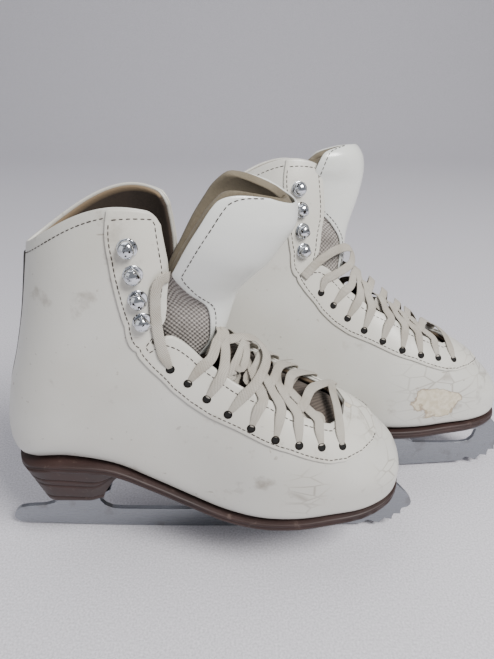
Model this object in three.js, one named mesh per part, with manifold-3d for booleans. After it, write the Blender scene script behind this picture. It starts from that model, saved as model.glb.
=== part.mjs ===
// A pair of women's figure skates: leather boots on steel blades.
// Millimetres, +Z up, toes towards +X. The right skate stands upright on its blade.
// The left skate is its mirror image, set behind it and leaning back.
import * as THREE from "three";
import { mergeVertices } from "three/addons/utils/BufferGeometryUtils.js";
import Module from "manifold-3d";

const wasm = await Module();
wasm.setup();

// ---- Driving sizes ---------------------------------------------------------
const UPPER_THICK = 1.6; // outer leather of the boot
const OVERLAY_THICK = 1.2; // eyestay leather sewn on top of it
const LINING_THICK = 1.4;
const STIFF_THICK = 1.0; // heel counter and toe puff
const LAYER_GAP = 0.3; // room between leather layers
const SOLE_THICK = 8.3;
const SOLE_EDGE = 1.2; // how far the sole stands out past the upper
const SEAT_GAP = 0.35; // room between stacked bottom parts
const HEEL_BOTTOM = 52.0;
const HEEL_BACK = 12.0;
const HEEL_FRONT = 70.0;
const BLADE_THICK = 3.8;
const ROCKER_RADIUS = 2200;
const ROCKER_CENTRE = 115;
const RUNNER_TOP = 18;
const PLATE_THICK = 2.2;
const SCREW_RADIUS = 3.4;
const EYELET_COUNT = 9;
const EYELET_OUTER = 2.6;
const EYELET_BORE = 1.8;
const HOOK_COUNT = 4;
const HOOK_RADIUS = 5.2;
const LACE_WIDTH = 6;
const LACE_THICK = 1.4;
const TONGUE_LENGTH = 100;
const TONGUE_HINGE = [133, 169];
// How each tongue stands: degrees forward of upright, and the bottom of its raised part
// above and ahead of the hinge.
const RIGHT_TONGUE = { lean: 17, foot: 2.4, ahead: 0 };
const LEFT_TONGUE = { lean: 8, foot: 0, ahead: 2 };
const LEFT_SHIFT = [98.7, 57];
const LEFT_YAW = 2.5;
const LEFT_LEAN = 12;

// ---- Boot shape ------------------------------------------------------------
// Each row is one slice of the boot, from the toe round the heel to the collar:
// bottom point x z, top point x z, half width, height share of the widest place,
// squareness of the lower half, roundness of the upper half, arch of the slice.
const SLICES = [
  [265.2, 67, 265.2, 75, 6, 0.5, 3, 2, 0],
  [262.5, 61.5, 263.5, 82, 17, 0.45, 4, 2, 0],
  [257, 59, 259.5, 89, 27, 0.4, 5, 2, 0],
  [248, 58, 251, 98, 34.5, 0.36, 7, 2.1, 0],
  [234, 57.5, 238.5, 109, 41.5, 0.33, 8, 2.1, 0],
  [215, 57, 221, 120, 46, 0.31, 8, 2.2, 0],
  [192, 55, 201.5, 130.5, 48.5, 0.29, 8, 2.3, 0],
  [168, 54, 183, 142.5, 47, 0.3, 8, 2.3, 0],
  [145, 55.5, 165, 157, 41.5, 0.33, 8, 2.3, 0],
  [122, 62.5, 150, 170, 36, 0.36, 8, 2.3, 0],
  [98, 73, 139, 181, 32.5, 0.4, 8, 2.3, 0],
  [72, 86, 132, 191, 32.5, 0.42, 7, 2.3, 0],
  [42, 90, 128, 200, 33.5, 0.42, 5, 2.3, 0],
  [17, 86.5, 126, 207, 34, 0.42, 3.6, 2.3, 0],
  [5.5, 89.5, 125.5, 213, 34.5, 0.43, 2.7, 2.3, 0],
  [2.2, 106, 125.5, 219, 34.5, 0.45, 2.3, 2.3, 1],
  [8, 135, 125.5, 225, 34, 0.48, 2.1, 2.3, 3],
  [16.5, 160, 125.5, 231, 33, 0.51, 2, 2.3, 6],
  [24, 185, 125, 236, 31.5, 0.54, 1.9, 2.3, 9],
  [29.5, 208, 124, 241, 29, 0.58, 1.8, 2.3, 13],
  [34, 229, 122, 246.5, 25.5, 0.64, 1.7, 2.3, 16.5],
];
const LAST_SLICE = SLICES.length - 1;
const ROWS = [0, 1, 2, 3.2, 5, 7, 9, 11, 12.6, 13.8, 15, 16.8, 18.4, 20];
const COLUMNS = [0, 0.22, 0.42, 0.58, 0.7, 0.84, 1];
const WIDEST_COLUMN = 0.42;
const INNER_SIDE = 0.85; // the foot is straighter on its inner side

// How far the inner side is drawn in: all of it at the ball, none at the heel and collar.
function innerShare(t) {
  const fade = Math.min(Math.max((t - 8) / 5, 0), 1);
  return INNER_SIDE + (1 - INNER_SIDE) * fade * fade * (3 - 2 * fade);
}

function sliceAt(t) {
  const i = Math.min(Math.floor(Math.max(t, 0)), LAST_SLICE - 1);
  const f = t - i;
  const row = (n) => SLICES[Math.min(Math.max(n, 0), LAST_SLICE)];
  const [a, b, c, d] = [row(i - 1), row(i), row(i + 1), row(i + 2)];
  return b.map((p, k) => {
    const slope = c[k] - a[k];
    const bend = 2 * a[k] - 5 * p + 4 * c[k] - d[k];
    const twist = 3 * (p - c[k]) + d[k] - a[k];
    return p + 0.5 * f * (slope + f * (bend + f * twist));
  });
}

// A point of the boot's outer skin. v runs from 0 at the bottom or back to 1 at the top or front.
function skinPoint(t, v, side) {
  const [px, pz, qx, qz, halfWidth, widest, lowPower, highPower, arch] = sliceAt(t);
  const dx = qx - px;
  const dz = qz - pz;
  const length = Math.hypot(dx, dz);
  let along;
  let out;
  if (v < WIDEST_COLUMN) {
    const angle = ((v / WIDEST_COLUMN) * Math.PI) / 2;
    along = widest * (1 - Math.cos(angle) ** (2 / lowPower));
    out = Math.sin(angle) ** (2 / lowPower);
  } else {
    const angle = (((v - WIDEST_COLUMN) / (1 - WIDEST_COLUMN)) * Math.PI) / 2;
    along = widest + (1 - widest) * Math.sin(angle) ** (2 / highPower);
    out = Math.max(Math.cos(angle), 0) ** (2 / highPower);
  }
  const rise = arch * (2 * along * (1 - along) + 3.375 * along * along * (1 - along));
  return new THREE.Vector3(
    px + along * dx - (dz / length) * rise,
    side * halfWidth * out * (side > 0 ? innerShare(t) : 1),
    pz + along * dz + (dx / length) * rise,
  );
}

// The outward normal, from close neighbours. side is -1 for the right-hand face, +1 for the other.
function skinNormal(t, v, side) {
  const e = 0.02;
  const w = Math.min(Math.max(v, 0.002), 0.998);
  const ahead = skinPoint(Math.min(t + e, LAST_SLICE), w, side);
  const alongT = ahead.sub(skinPoint(Math.max(t - e, 0), w, side));
  const alongV = skinPoint(t, w + 0.002, side).sub(skinPoint(t, w - 0.002, side));
  const n = alongV.cross(alongT).normalize().multiplyScalar(-side);
  if (v < 0.002 || v > 0.998) {
    n.y = 0;
    n.normalize();
  }
  return n;
}

function skinAt(t, v, side, offset) {
  return skinPoint(t, v, side).addScaledVector(skinNormal(t, v, side), offset);
}

// ---- Solids ----------------------------------------------------------------
function solidFromTriangles(points, triangles) {
  return new wasm.Manifold(
    new wasm.Mesh({
      numProp: 3,
      vertProperties: new Float32Array(points.flatMap((p) => [p.x, p.y, p.z])),
      triVerts: new Uint32Array(triangles.flat()),
    }),
  );
}

function solidFromGeometry(geometry) {
  const bare = new THREE.BufferGeometry();
  const flat = geometry.index ? geometry.toNonIndexed() : geometry;
  bare.setAttribute("position", flat.getAttribute("position"));
  const merged = mergeVertices(bare, 1e-3);
  return new wasm.Manifold(
    new wasm.Mesh({
      numProp: 3,
      vertProperties: new Float32Array(merged.attributes.position.array),
      triVerts: new Uint32Array(merged.index.array),
    }),
  );
}

const MERGE_FLAT = 0.09; // neighbouring facets this close to flat become one

function geometryFromSolid(solid) {
  const mesh = solid.asOriginal().simplify(MERGE_FLAT).getMesh();
  const geometry = new THREE.BufferGeometry();
  const points = new Float32Array(mesh.numVert * 3);
  for (let i = 0; i < mesh.numVert; i++)
    for (let k = 0; k < 3; k++) points[i * 3 + k] = mesh.vertProperties[i * mesh.numProp + k];
  geometry.setAttribute("position", new THREE.BufferAttribute(points, 3));
  geometry.setIndex(new THREE.BufferAttribute(new Uint32Array(mesh.triVerts), 1));
  return geometry;
}

// A closed solid through a list of rings that have the same number of points.
function loft(rings) {
  const n = rings[0].length;
  const points = rings.flat();
  const triangles = [];
  for (let r = 0; r < rings.length - 1; r++)
    for (let i = 0; i < n; i++) {
      const a = r * n + i;
      const b = r * n + ((i + 1) % n);
      triangles.push([a, b, a + n], [b, b + n, a + n]);
    }
  for (const [ring, flip] of [
    [0, true],
    [rings.length - 1, false],
  ]) {
    const centre = points.length;
    points.push(rings[ring].reduce((sum, p) => sum.add(p), new THREE.Vector3()).divideScalar(n));
    for (let i = 0; i < n; i++) {
      const a = ring * n + i;
      const b = ring * n + ((i + 1) % n);
      triangles.push(flip ? [b, a, centre] : [a, b, centre]);
    }
  }
  const solid = solidFromTriangles(points, triangles);
  if (solid.volume() > 0) return solid;
  return solidFromTriangles(
    points,
    triangles.map(([a, b, c]) => [a, c, b]),
  );
}

// The boot's filled shape, grown or shrunk by offset, and carried up past the collar when open.
function bootSolid(offset, open) {
  const rows = ROWS.filter((t) => offset > -2 || t > 0);
  const rings = rows.map((t) => {
    const right = COLUMNS.map((v) => skinAt(t, v, -1, offset));
    const left = COLUMNS.slice(1, -1)
      .reverse()
      .map((v) => skinAt(t, v, 1, offset));
    return [...right, ...left];
  });
  const above = new THREE.Vector3(2, 0, 14);
  if (open) rings.push(rings[rings.length - 1].map((p) => p.clone().add(above)));
  return loft(rings);
}

const shell = (outer, inner) => bootSolid(outer, false).subtract(bootSolid(inner, true));

// A prism across the boot from a side-view outline of x, z points.
function sidePrism(outline, yFrom, yTo) {
  const shape = new THREE.Shape(outline.map(([x, z]) => new THREE.Vector2(x, z)));
  const geometry = new THREE.ExtrudeGeometry(shape, { depth: yTo - yFrom, bevelEnabled: false });
  geometry.rotateX(Math.PI / 2);
  geometry.translate(0, yTo, 0);
  return solidFromGeometry(geometry);
}

const across = (outline) => sidePrism(outline, -90, 90);

function largest(solid) {
  return solid.decompose().sort((a, b) => b.volume() - a.volume())[0];
}

function join(solids) {
  return solids.reduce((whole, s) => whole.add(s));
}

// ---- Side-view lines of the boot ---------------------------------------------
const FACING = [
  [104, 262],
  [109, 252],
  [112.7, 248],
  [114.6, 236],
  [116, 217],
  [116, 200],
  [113.5, 184],
  [115.8, 180],
  [122, 178.4],
  [133.7, 164.3],
  [152.5, 149.9],
  [173.7, 138.3],
  [200, 123.6],
  [212, 117],
  [223, 112],
  [229, 116],
];
const THROAT_CUT = [...FACING, [233, 150], [170, 300], [104, 300]];
const LINING_CUT = [
  [88, 262],
  [92, 236],
  [93, 200],
  [95, 178],
  [108, 154],
  [134, 132],
  [172, 115],
  [205, 101],
  [228, 101],
  [236, 150],
  [170, 300],
  [88, 300],
];
const OVERLAY_SEAM = [
  [87.7, 262],
  [87.6, 229],
  [92.2, 192],
  [105.7, 161],
  [125.6, 138.6],
  [153.8, 124],
  [186, 111],
  [211, 102.5],
  [244, 102.5],
];
const OVERLAY_AREA = [...OVERLAY_SEAM, [262, 120], [210, 300], [87.7, 300]];

const upperShell = shell(0, -UPPER_THICK).subtract(across(THROAT_CUT));
const overlayIn = LAYER_GAP;
const overlayOut = LAYER_GAP + OVERLAY_THICK;
const stiffOut = -UPPER_THICK - LAYER_GAP;
const stiffIn = stiffOut - STIFF_THICK;
const liningOut = stiffIn - LAYER_GAP;
const liningIn = liningOut - LINING_THICK;
const tongueOut = liningIn - 2 * LAYER_GAP;

// ---- Lacing positions --------------------------------------------------------
function eyeletPlace(i) {
  const share = i / (EYELET_COUNT - 1);
  const t = 11.04 - 5.98 * share - 0.9 * share * (1 - share);
  const v = 0.603 - 0.03 * share * (1 - share) + 0.106 * share * share;
  return [t, v];
}
function hookPlace(i) {
  const share = i / (HOOK_COUNT - 1);
  return [18.46 - 3.6 * share - 0.25 * share * share, 0.571 + 0.13 * share - 0.04 * share * share];
}

// A turned piece with its axis along the skin's normal; profile is radius, height pairs.
function turnedOnSkin(t, v, side, profile, segments, spin = 0) {
  const geometry = new THREE.LatheGeometry(
    profile.map(([r, h]) => new THREE.Vector2(r, h)),
    segments,
  );
  geometry.rotateY(spin);
  const normal = skinNormal(t, v, side);
  geometry.applyQuaternion(new THREE.Quaternion().setFromUnitVectors(new THREE.Vector3(0, 1, 0), normal));
  const p = skinPoint(t, v, side);
  geometry.translate(p.x, p.y, p.z);
  const solid = solidFromGeometry(geometry);
  return solid.volume() > 0 ? solid : solidFromGeometry(flipped(geometry));
}

function flipped(geometry) {
  const flat = geometry.index ? geometry.toNonIndexed() : geometry.clone();
  const p = flat.getAttribute("position");
  for (let i = 0; i < p.count; i += 3) {
    const a = [p.getX(i), p.getY(i), p.getZ(i)];
    p.setXYZ(i, p.getX(i + 1), p.getY(i + 1), p.getZ(i + 1));
    p.setXYZ(i + 1, ...a);
  }
  return flat;
}

const rod = (r, low, high) => [
  [0, low],
  [r, low],
  [r, high],
  [0, high],
];
const places = (count, placeOf) => Array.from({ length: count }, (_, i) => placeOf(i));
const eyeletPlaces = places(EYELET_COUNT, eyeletPlace);
const hookPlaces = places(HOOK_COUNT, hookPlace);
const HOLE_CLEAR = 0.5;

function holes(list, radius, side) {
  return join(list.map(([t, v]) => turnedOnSkin(t, v, side, rod(radius, -7, 5), 5)));
}
const eyeletHoles = join([-1, 1].map((side) => holes(eyeletPlaces, EYELET_OUTER + HOLE_CLEAR, side)));
const hookHoles = join([-1, 1].map((side) => holes(hookPlaces, 1.6 + HOLE_CLEAR, side)));
const allHoles = eyeletHoles.add(hookHoles);

const STAY_HALF = 1.6;
const STAY_FOOT = stiffIn - 1.2; // inner end of the eyelets and hook rivets

// A stiff strip between the leathers that ties a row of eyelets or hooks together.
function stayStrip(list, side) {
  const line = list.map(([t, v]) => {
    const p = skinPoint(t, v, side);
    return new THREE.Vector2(p.x, p.z);
  });
  const edge = (distance) =>
    line.map((p, i) => {
      const along = line[Math.min(i + 1, line.length - 1)].clone().sub(line[Math.max(i - 1, 0)]).normalize();
      return [p.x - along.y * distance, p.y + along.x * distance];
    });
  const outline = [...edge(STAY_HALF), ...edge(-STAY_HALF).reverse()];
  const room = sidePrism(outline, side > 0 ? 8 : -60, side > 0 ? 60 : -8);
  return shell(stiffOut, STAY_FOOT).intersect(room);
}

function eyeletRow(side) {
  const ring = eyeletPlaces.map(([t, v]) =>
    turnedOnSkin(t, v, side, rod(EYELET_OUTER, STAY_FOOT, overlayOut + 0.6), 5),
  );
  const bores = eyeletPlaces.map(([t, v]) => turnedOnSkin(t, v, side, rod(EYELET_BORE, -8, 6), 5));
  return join([stayStrip(eyeletPlaces, side), ...ring]).subtract(join(bores));
}

function hookRow(side) {
  const hook = [
    [0, STAY_FOOT],
    [1.6, STAY_FOOT],
    [1.6, overlayOut + 0.3],
    [HOOK_RADIUS, overlayOut + 0.4],
    [HOOK_RADIUS - 1.2, overlayOut + 1.8],
    [2.2, overlayOut + 2.2],
    [2.2, overlayOut + 4.2],
    [HOOK_RADIUS - 0.6, overlayOut + 5],
    [HOOK_RADIUS - 1.6, overlayOut + 7],
    [0, overlayOut + 7.8],
  ];
  const hooks = hookPlaces.map(([t, v]) => turnedOnSkin(t, v, side, hook, 5));
  return join([stayStrip(hookPlaces, side), ...hooks]);
}

// ---- Bottom parts ------------------------------------------------------------
// Centre line of the sole's top, its half width outside and its inner share, from toe to heel.
const SOLE_LINE = [
  [266, 57.4, 7, innerShare(0)],
  [262.5, 57.9, 17, innerShare(1)],
  ...ROWS.filter((t) => t >= 2 && t < 13).map((t) => {
    const [x, z, , , halfWidth] = sliceAt(t);
    return [x, z - SEAT_GAP, 0.98 * halfWidth, innerShare(t)];
  }),
  [16, 86, 27, 1],
  [9, 85, 20, 1],
  [5, 84.5, 9, 1],
];

// A slab along the sole line between two x limits; its faces lie dropTop and dropBottom under it.
function soleSlab(fromX, toX, dropTop, dropBottom, widthOf) {
  const cut = SOLE_LINE.filter(([x]) => x <= fromX && x >= toX);
  return loft(
    cut.map(([x, z, w, inner]) => {
      const out = widthOf(w);
      const within = out * inner;
      return [
        new THREE.Vector3(x, -out, z - dropTop),
        new THREE.Vector3(x, within, z - dropTop),
        new THREE.Vector3(x, within, z - dropBottom),
        new THREE.Vector3(x, -out, z - dropBottom),
      ];
    }),
  );
}

const outsole = soleSlab(266, 5, 0, SOLE_THICK, (w) => w + SOLE_EDGE);

function heelBlock() {
  const ring = (z, back, front, half) => {
    const points = [];
    for (const [share, w] of [
      [0, 0.3],
      [0.07, 0.66],
      [0.22, 0.92],
      [0.5, 1],
      [1, 1],
    ])
      points.push(new THREE.Vector3(back + share * (front - back), -w * half, z));
    return [...points, ...points.map((p) => new THREE.Vector3(p.x, -p.y, p.z)).reverse()];
  };
  const block = loft([
    ring(HEEL_BOTTOM, HEEL_BACK + 5, HEEL_FRONT - 4, 26.5),
    ring(66, HEEL_BACK + 1, HEEL_FRONT, 30),
    ring(100, HEEL_BACK - 6, HEEL_FRONT + 8, 33),
  ]);
  const above = soleSlab(266, 5, -40, SOLE_THICK + SEAT_GAP, () => 60);
  return block.subtract(above);
}

// Insole board and footbed fill the floor of the boot on top of the lining.
const FLOOR_LINE = [
  [252, 66.5],
  [234, 67],
  [215, 66.5],
  [192, 64.5],
  [168, 63.5],
  [145, 65],
  [122, 72],
  [98, 82.5],
  [72, 95],
  [42, 99.5],
  [24, 98],
];
const lifted = (rise) => FLOOR_LINE.map(([x, z]) => [x, z + rise]);
const BOARD_AREA = [[252, 50], ...lifted(0), [24, 50]];
const insoleBoard = largest(bootSolid(tongueOut - 0.4, false).intersect(across(BOARD_AREA)));
const FOOTBED_AREA = [...lifted(4), ...lifted(0.4).reverse()];
const footbed = largest(bootSolid(tongueOut - 1.2, false).intersect(across(FOOTBED_AREA)));

// ---- Blade and plates ----------------------------------------------------------
const soleBottomAt = (x) => {
  const i = SOLE_LINE.findIndex(([sx]) => sx <= x);
  const [x1, z1] = SOLE_LINE[i - 1];
  const [x2, z2] = SOLE_LINE[i];
  return z1 + ((z2 - z1) * (x - x1)) / (x2 - x1) - SOLE_THICK;
};
const PLATE_X = [260, 257, 245.2, 215, 180, 178];
const plateTop = (x) => soleBottomAt(x) - SEAT_GAP;

function toePlate() {
  return loft(
    PLATE_X.map((x) => {
      const half = x > 258 ? 12 : x > 250 ? 19 : x > 182 ? 25 : 20;
      const z = plateTop(x);
      return [
        new THREE.Vector3(x, -half, z),
        new THREE.Vector3(x, half, z),
        new THREE.Vector3(x, half, z - PLATE_THICK),
        new THREE.Vector3(x, -half, z - PLATE_THICK),
      ];
    }),
  );
}

const HEEL_PLATE_TOP = HEEL_BOTTOM - SEAT_GAP;
const HEEL_PLATE = [
  [19, 10],
  [23, 17],
  [30, 19.5],
  [60, 19.5],
  [64, 16],
];
function heelPlate() {
  const outline = [...HEEL_PLATE, ...HEEL_PLATE.map(([x, y]) => [x, -y]).reverse()];
  const shape = new THREE.Shape(outline.map(([x, y]) => new THREE.Vector2(x, y)));
  const geometry = new THREE.ExtrudeGeometry(shape, { depth: PLATE_THICK, bevelEnabled: false });
  geometry.translate(0, 0, HEEL_PLATE_TOP - PLATE_THICK);
  const solid = solidFromGeometry(geometry);
  return solid.volume() > 0 ? solid : solidFromGeometry(flipped(geometry));
}

function bladeOutline() {
  const bottom = [];
  for (let i = 0; i <= 12; i++) {
    const x = -8 + (i * 256) / 12;
    bottom.push([x, (x - ROCKER_CENTRE) ** 2 / (2 * ROCKER_RADIUS)]);
  }
  const rake = [
    [252, 8.5],
    [261, 4.3],
    [264.5, 9.5],
    [270.5, 8.5],
    [271, 14],
    [276.5, 14.5],
    [276, 20],
    [281, 22],
    [282.6, 27],
    [275, 38],
    [268, plateTop(259) - PLATE_THICK - 0.3],
  ];
  const under = [259, 257, 245.2, 215, 182].map((x) => [x, plateTop(x) - PLATE_THICK - 0.3]);
  const waist = [
    [178, 36],
    [166, 24],
    [150, RUNNER_TOP + 1],
    [100, RUNNER_TOP],
    [60, RUNNER_TOP],
    [51, 23],
    [49, HEEL_PLATE_TOP - PLATE_THICK - 0.3],
    [25, HEEL_PLATE_TOP - PLATE_THICK - 0.3],
    [23, 30],
    [15, 22.5],
    [-6, 19.5],
    [-13, 15.5],
    [-15.8, 10],
    [-14, 5],
  ];
  return [...bottom, ...rake, ...under, ...waist];
}
const SLOT = [
  [198, 28],
  [203, 23.5],
  [248, 22],
  [256, 27],
  [258, 36],
  [252, 41.5],
  [204, 40.5],
  [198, 36],
];
const bladeSolid = () =>
  sidePrism(bladeOutline(), -BLADE_THICK / 2, BLADE_THICK / 2).subtract(across(SLOT));

const SCREWS = {
  toe: [
    [247, 13],
    [247, -13],
    [206, 18],
    [206, -18],
  ],
  heel: [
    [31, 12],
    [31, -12],
    [55, 0],
  ],
};
function screw(x, y, plateUnder) {
  const profile = [
    [0, -1.6],
    [SCREW_RADIUS - 1, -1.6],
    [SCREW_RADIUS, -0.35],
    [1.6, -0.35],
    [1.6, PLATE_THICK + 4],
    [0, PLATE_THICK + 4],
  ];
  const geometry = new THREE.LatheGeometry(
    profile.map(([r, h]) => new THREE.Vector2(r, h)),
    6,
  );
  geometry.rotateX(Math.PI / 2);
  geometry.translate(x, y, plateUnder);
  const solid = solidFromGeometry(geometry);
  return solid.volume() > 0 ? solid : solidFromGeometry(flipped(geometry));
}
function screwHole(x, y, plateUnder) {
  const geometry = new THREE.LatheGeometry(
    rod(1.9, -4, PLATE_THICK + 4.6).map(([r, h]) => new THREE.Vector2(r, h)),
    6,
  );
  geometry.rotateX(Math.PI / 2);
  geometry.translate(x, y, plateUnder);
  const solid = solidFromGeometry(geometry);
  return solid.volume() > 0 ? solid : solidFromGeometry(flipped(geometry));
}
const toeUnder = (x) => plateTop(x) - PLATE_THICK;
const toeHoles = join(SCREWS.toe.map(([x, y]) => screwHole(x, y, toeUnder(x))));
const heelHoles = join(SCREWS.heel.map(([x, y]) => screwHole(x, y, HEEL_PLATE_TOP - PLATE_THICK)));

// ---- Laces -----------------------------------------------------------------------
// A flat strip through points; ups gives the way its broad face looks at each of them.
function ribbon(points, ups) {
  const rings = points.map((p, i) => {
    const a = points[Math.max(i - 1, 0)];
    const b = points[Math.min(i + 1, points.length - 1)];
    const along = b.clone().sub(a).normalize();
    const broad = new THREE.Vector3().crossVectors(along, ups[i]).normalize();
    const thin = new THREE.Vector3().crossVectors(broad, along);
    const corner = (s, q) =>
      p
        .clone()
        .addScaledVector(broad, (s * LACE_WIDTH) / 2)
        .addScaledVector(thin, (q * LACE_THICK) / 2);
    return [corner(-1, -1), corner(1, -1), corner(1, 1), corner(-1, 1)];
  });
  return loft(rings);
}

const LACE_LIFT = 4; // lace centre above the boot's skin
const FACING_V = 0.8;

// One crossing of the throat: eyelet, over the facing edge, across, and down to the other side.
function laceSpan(from, to, side) {
  const [t1, v1] = eyeletPlaces[from];
  const [t2, v2] = eyeletPlaces[to];
  const lean = (t1 - t2) * 0.25;
  const stops = [
    [t1, v1, side],
    [t1 - lean, FACING_V, side],
    [t2 + lean, FACING_V, -side],
    [t2, v2, -side],
  ];
  const points = stops.map(([t, v, s], i) => skinAt(t, v, s, LACE_LIFT + (i % 3 ? 2.2 : 0.5)));
  const ups = stops.map(([t, v, s]) => skinNormal(t, v, s));
  const middle = points[1].clone().add(points[2]).multiplyScalar(0.5);
  const up = ups[1].clone().add(ups[2]).normalize();
  points.splice(2, 0, middle.addScaledVector(up, 3));
  ups.splice(2, 0, up);
  return ribbon(points, ups);
}

function lace() {
  const last = EYELET_COUNT - 1;
  const pieces = [laceSpan(last, last, -1)];
  for (let i = last; i > 1; i--) pieces.push(laceSpan(i, i - 1, -1), laceSpan(i, i - 1, 1));
  return join(pieces);
}

// ---- Tongue ----------------------------------------------------------------------
const TONGUE_BASE_AREA = [
  [133, 156],
  [152, 143],
  [173, 131],
  [200, 116],
  [216, 109],
  [244, 101],
  [248, 130],
  [230, 150],
  [190, 170],
  [143, 184],
  [136, 166],
];
function tongueBase() {
  return shell(tongueOut, tongueOut - 3.5).intersect(across(TONGUE_BASE_AREA));
}

// Local frame of the raised tongue: h runs up it, side runs across, back is towards the heel.
function tonguePoint(h, s, depth, { lean, ahead }) {
  const share = h / TONGUE_LENGTH;
  const wrap = (10 + 22 * share) * s * s;
  const half = 15 + 17 * Math.min(share * 1.6, 1) - 8 * Math.max(share - 0.8, 0) * 5 * s * s;
  const bow = 9 * Math.sin(share * Math.PI);
  const x = bow - wrap - depth * (1 - 0.35 * s * s);
  const y = half * s - depth * 0.35 * s;
  const tilt = (lean * Math.PI) / 180;
  return new THREE.Vector3(
    TONGUE_HINGE[0] + ahead + x * Math.cos(tilt) + h * Math.sin(tilt),
    y,
    TONGUE_HINGE[1] + h * Math.cos(tilt) - x * Math.sin(tilt),
  );
}

function tongueLayer(tongue, from, to, depthOut, depthIn, widthOf) {
  const rows = [0, 0.3, 0.6, 0.82, 0.94, 1].map((k) => from + k * (to - from));
  const cols = [-1, -0.7, -0.35, 0, 0.35, 0.7, 1];
  return loft(
    rows.map((h) => {
      const w = widthOf(h / TONGUE_LENGTH);
      const outer = cols.map((c) => tonguePoint(h, c * w, depthOut, tongue));
      const inner = cols.map((c) => tonguePoint(h, c * w, depthIn, tongue)).reverse();
      return [...outer, ...inner];
    }),
  );
}
const cap = (share) => Math.sqrt(Math.max(1 - Math.max(share - 0.8, 0) ** 2 * 14, 0.05));
const faceWidth = (k) => cap(k) * (k < 0.5 ? 0.55 + 0.7 * k : 0.9);
const tongueParts = (tongue) => ({
  tongue_shell: tongueLayer(tongue, tongue.foot, 99, -1.2, 0.6, faceWidth),
  tongue_mesh: tongueLayer(tongue, tongue.foot - 1, 100, 2.2, 3.3, (k) => cap(k) * 0.96),
  tongue_padding: tongueLayer(tongue, tongue.foot - 1, 100, 4.6, 10.4, (k) => cap(k) * 0.96),
});

// ---- Materials -------------------------------------------------------------------
const LOOKS = {
  leather: { color: 0xe9e8e2, roughness: 0.45, metalness: 0 },
  lining: { color: 0x5b4a3c, roughness: 0.95, metalness: 0 },
  board: { color: 0x9a866c, roughness: 0.9, metalness: 0 },
  sole: { color: 0x4a342e, roughness: 0.6, metalness: 0 },
  steel: { color: 0xb9bcc0, roughness: 0.25, metalness: 1 },
  chrome: { color: 0xdfe2e6, roughness: 0.1, metalness: 1 },
  dark_metal: { color: 0x3c3c3e, roughness: 0.4, metalness: 1 },
  suede: { color: 0x8f8474, roughness: 0.95, metalness: 0 },
  mesh: { color: 0xa59c90, roughness: 0.9, metalness: 0 },
  lace: { color: 0xc9c4ba, roughness: 0.9, metalness: 0 },
  piping: { color: 0x1e1c1c, roughness: 0.6, metalness: 0 },
};

// ---- Assembly --------------------------------------------------------------------
const HEEL_AREA = [
  [-10, 100],
  [10, 100],
  [60, 104],
  [66, 118],
  [48, 140],
  [-10, 150],
];
const TOE_AREA = [
  [226, 62],
  [270, 62],
  [270, 140],
  [226, 140],
];
const SEAM_AREA = [
  [-12, 99],
  [60, 99],
  [60, 232],
  [-12, 250],
];

function skateSolids(tongue) {
  const seam = shell(1.3, 0.3)
    .intersect(across(SEAM_AREA))
    .intersect(sidePrism(SEAM_AREA, -1.6, 1.6));
  return {
    blade: ["steel", bladeSolid()],
    toe_plate: ["steel", toePlate().subtract(toeHoles)],
    heel_plate: ["steel", heelPlate().subtract(heelHoles)],
    ...Object.fromEntries(
      SCREWS.toe.map(([x, y], i) => ["toe_screw_" + (i + 1), ["chrome", screw(x, y, toeUnder(x))]]),
    ),
    ...Object.fromEntries(
      SCREWS.heel.map(([x, y], i) => [
        "heel_screw_" + (i + 1),
        ["chrome", screw(x, y, HEEL_PLATE_TOP - PLATE_THICK)],
      ]),
    ),
    outsole: ["sole", outsole.subtract(toeHoles)],
    heel: ["sole", heelBlock().subtract(heelHoles)],
    upper: ["leather", upperShell.subtract(allHoles)],
    eyestay: [
      "leather",
      shell(overlayOut, overlayIn)
        .intersect(across(OVERLAY_AREA))
        .subtract(across(THROAT_CUT))
        .subtract(allHoles),
    ],
    back_seam: ["piping", seam],
    heel_counter: ["board", shell(stiffOut, stiffIn).intersect(across(HEEL_AREA))],
    toe_puff: ["board", shell(stiffOut, stiffIn).intersect(across(TOE_AREA))],
    lining: ["lining", shell(liningOut, liningIn).subtract(across(LINING_CUT))],
    insole_board: ["board", insoleBoard],
    footbed: ["suede", footbed],
    hooks_lateral: ["chrome", hookRow(-1)],
    hooks_medial: ["chrome", hookRow(1)],
    eyelets_lateral: ["dark_metal", eyeletRow(-1)],
    eyelets_medial: ["dark_metal", eyeletRow(1)],
    tongue_base: ["leather", tongueBase()],
    lace: ["lace", lace()],
    ...Object.fromEntries(
      Object.entries(tongueParts(tongue)).map(([name, solid]) => [
        name,
        [{ tongue_shell: "leather", tongue_mesh: "mesh", tongue_padding: "suede" }[name], solid],
      ]),
    ),
  };
}

function skate(prefix, tongue) {
  const group = new THREE.Group();
  group.name = prefix + "skate";
  for (const [name, [look, solid]] of Object.entries(skateSolids(tongue))) {
    const material = new THREE.MeshStandardMaterial(LOOKS[look]);
    const mesh = new THREE.Mesh(geometryFromSolid(solid), material);
    mesh.name = prefix + name;
    group.add(mesh);
  }
  return group;
}

const right = skate("right_", RIGHT_TONGUE);
const left = skate("left_", LEFT_TONGUE);
const leanAngle = THREE.MathUtils.degToRad(LEFT_LEAN);
left.scale.y = -1;
left.rotation.order = "ZYX";
left.rotation.x = -leanAngle;
left.rotation.z = THREE.MathUtils.degToRad(LEFT_YAW);
left.position.set(...LEFT_SHIFT, (BLADE_THICK / 2) * Math.sin(leanAngle));

const pair = new THREE.Group();
pair.name = "figure_skates";
pair.add(right, left);
pair.updateMatrixWorld(true);
const box = new THREE.Box3().setFromObject(pair, true);
const middle = box.getCenter(new THREE.Vector3());
pair.position.set(-middle.x, -middle.y, -box.min.z);

export default pair;
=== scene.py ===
"""A worn pair of white figure skates: the right one stands, the left one leans back behind it."""
import math

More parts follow.
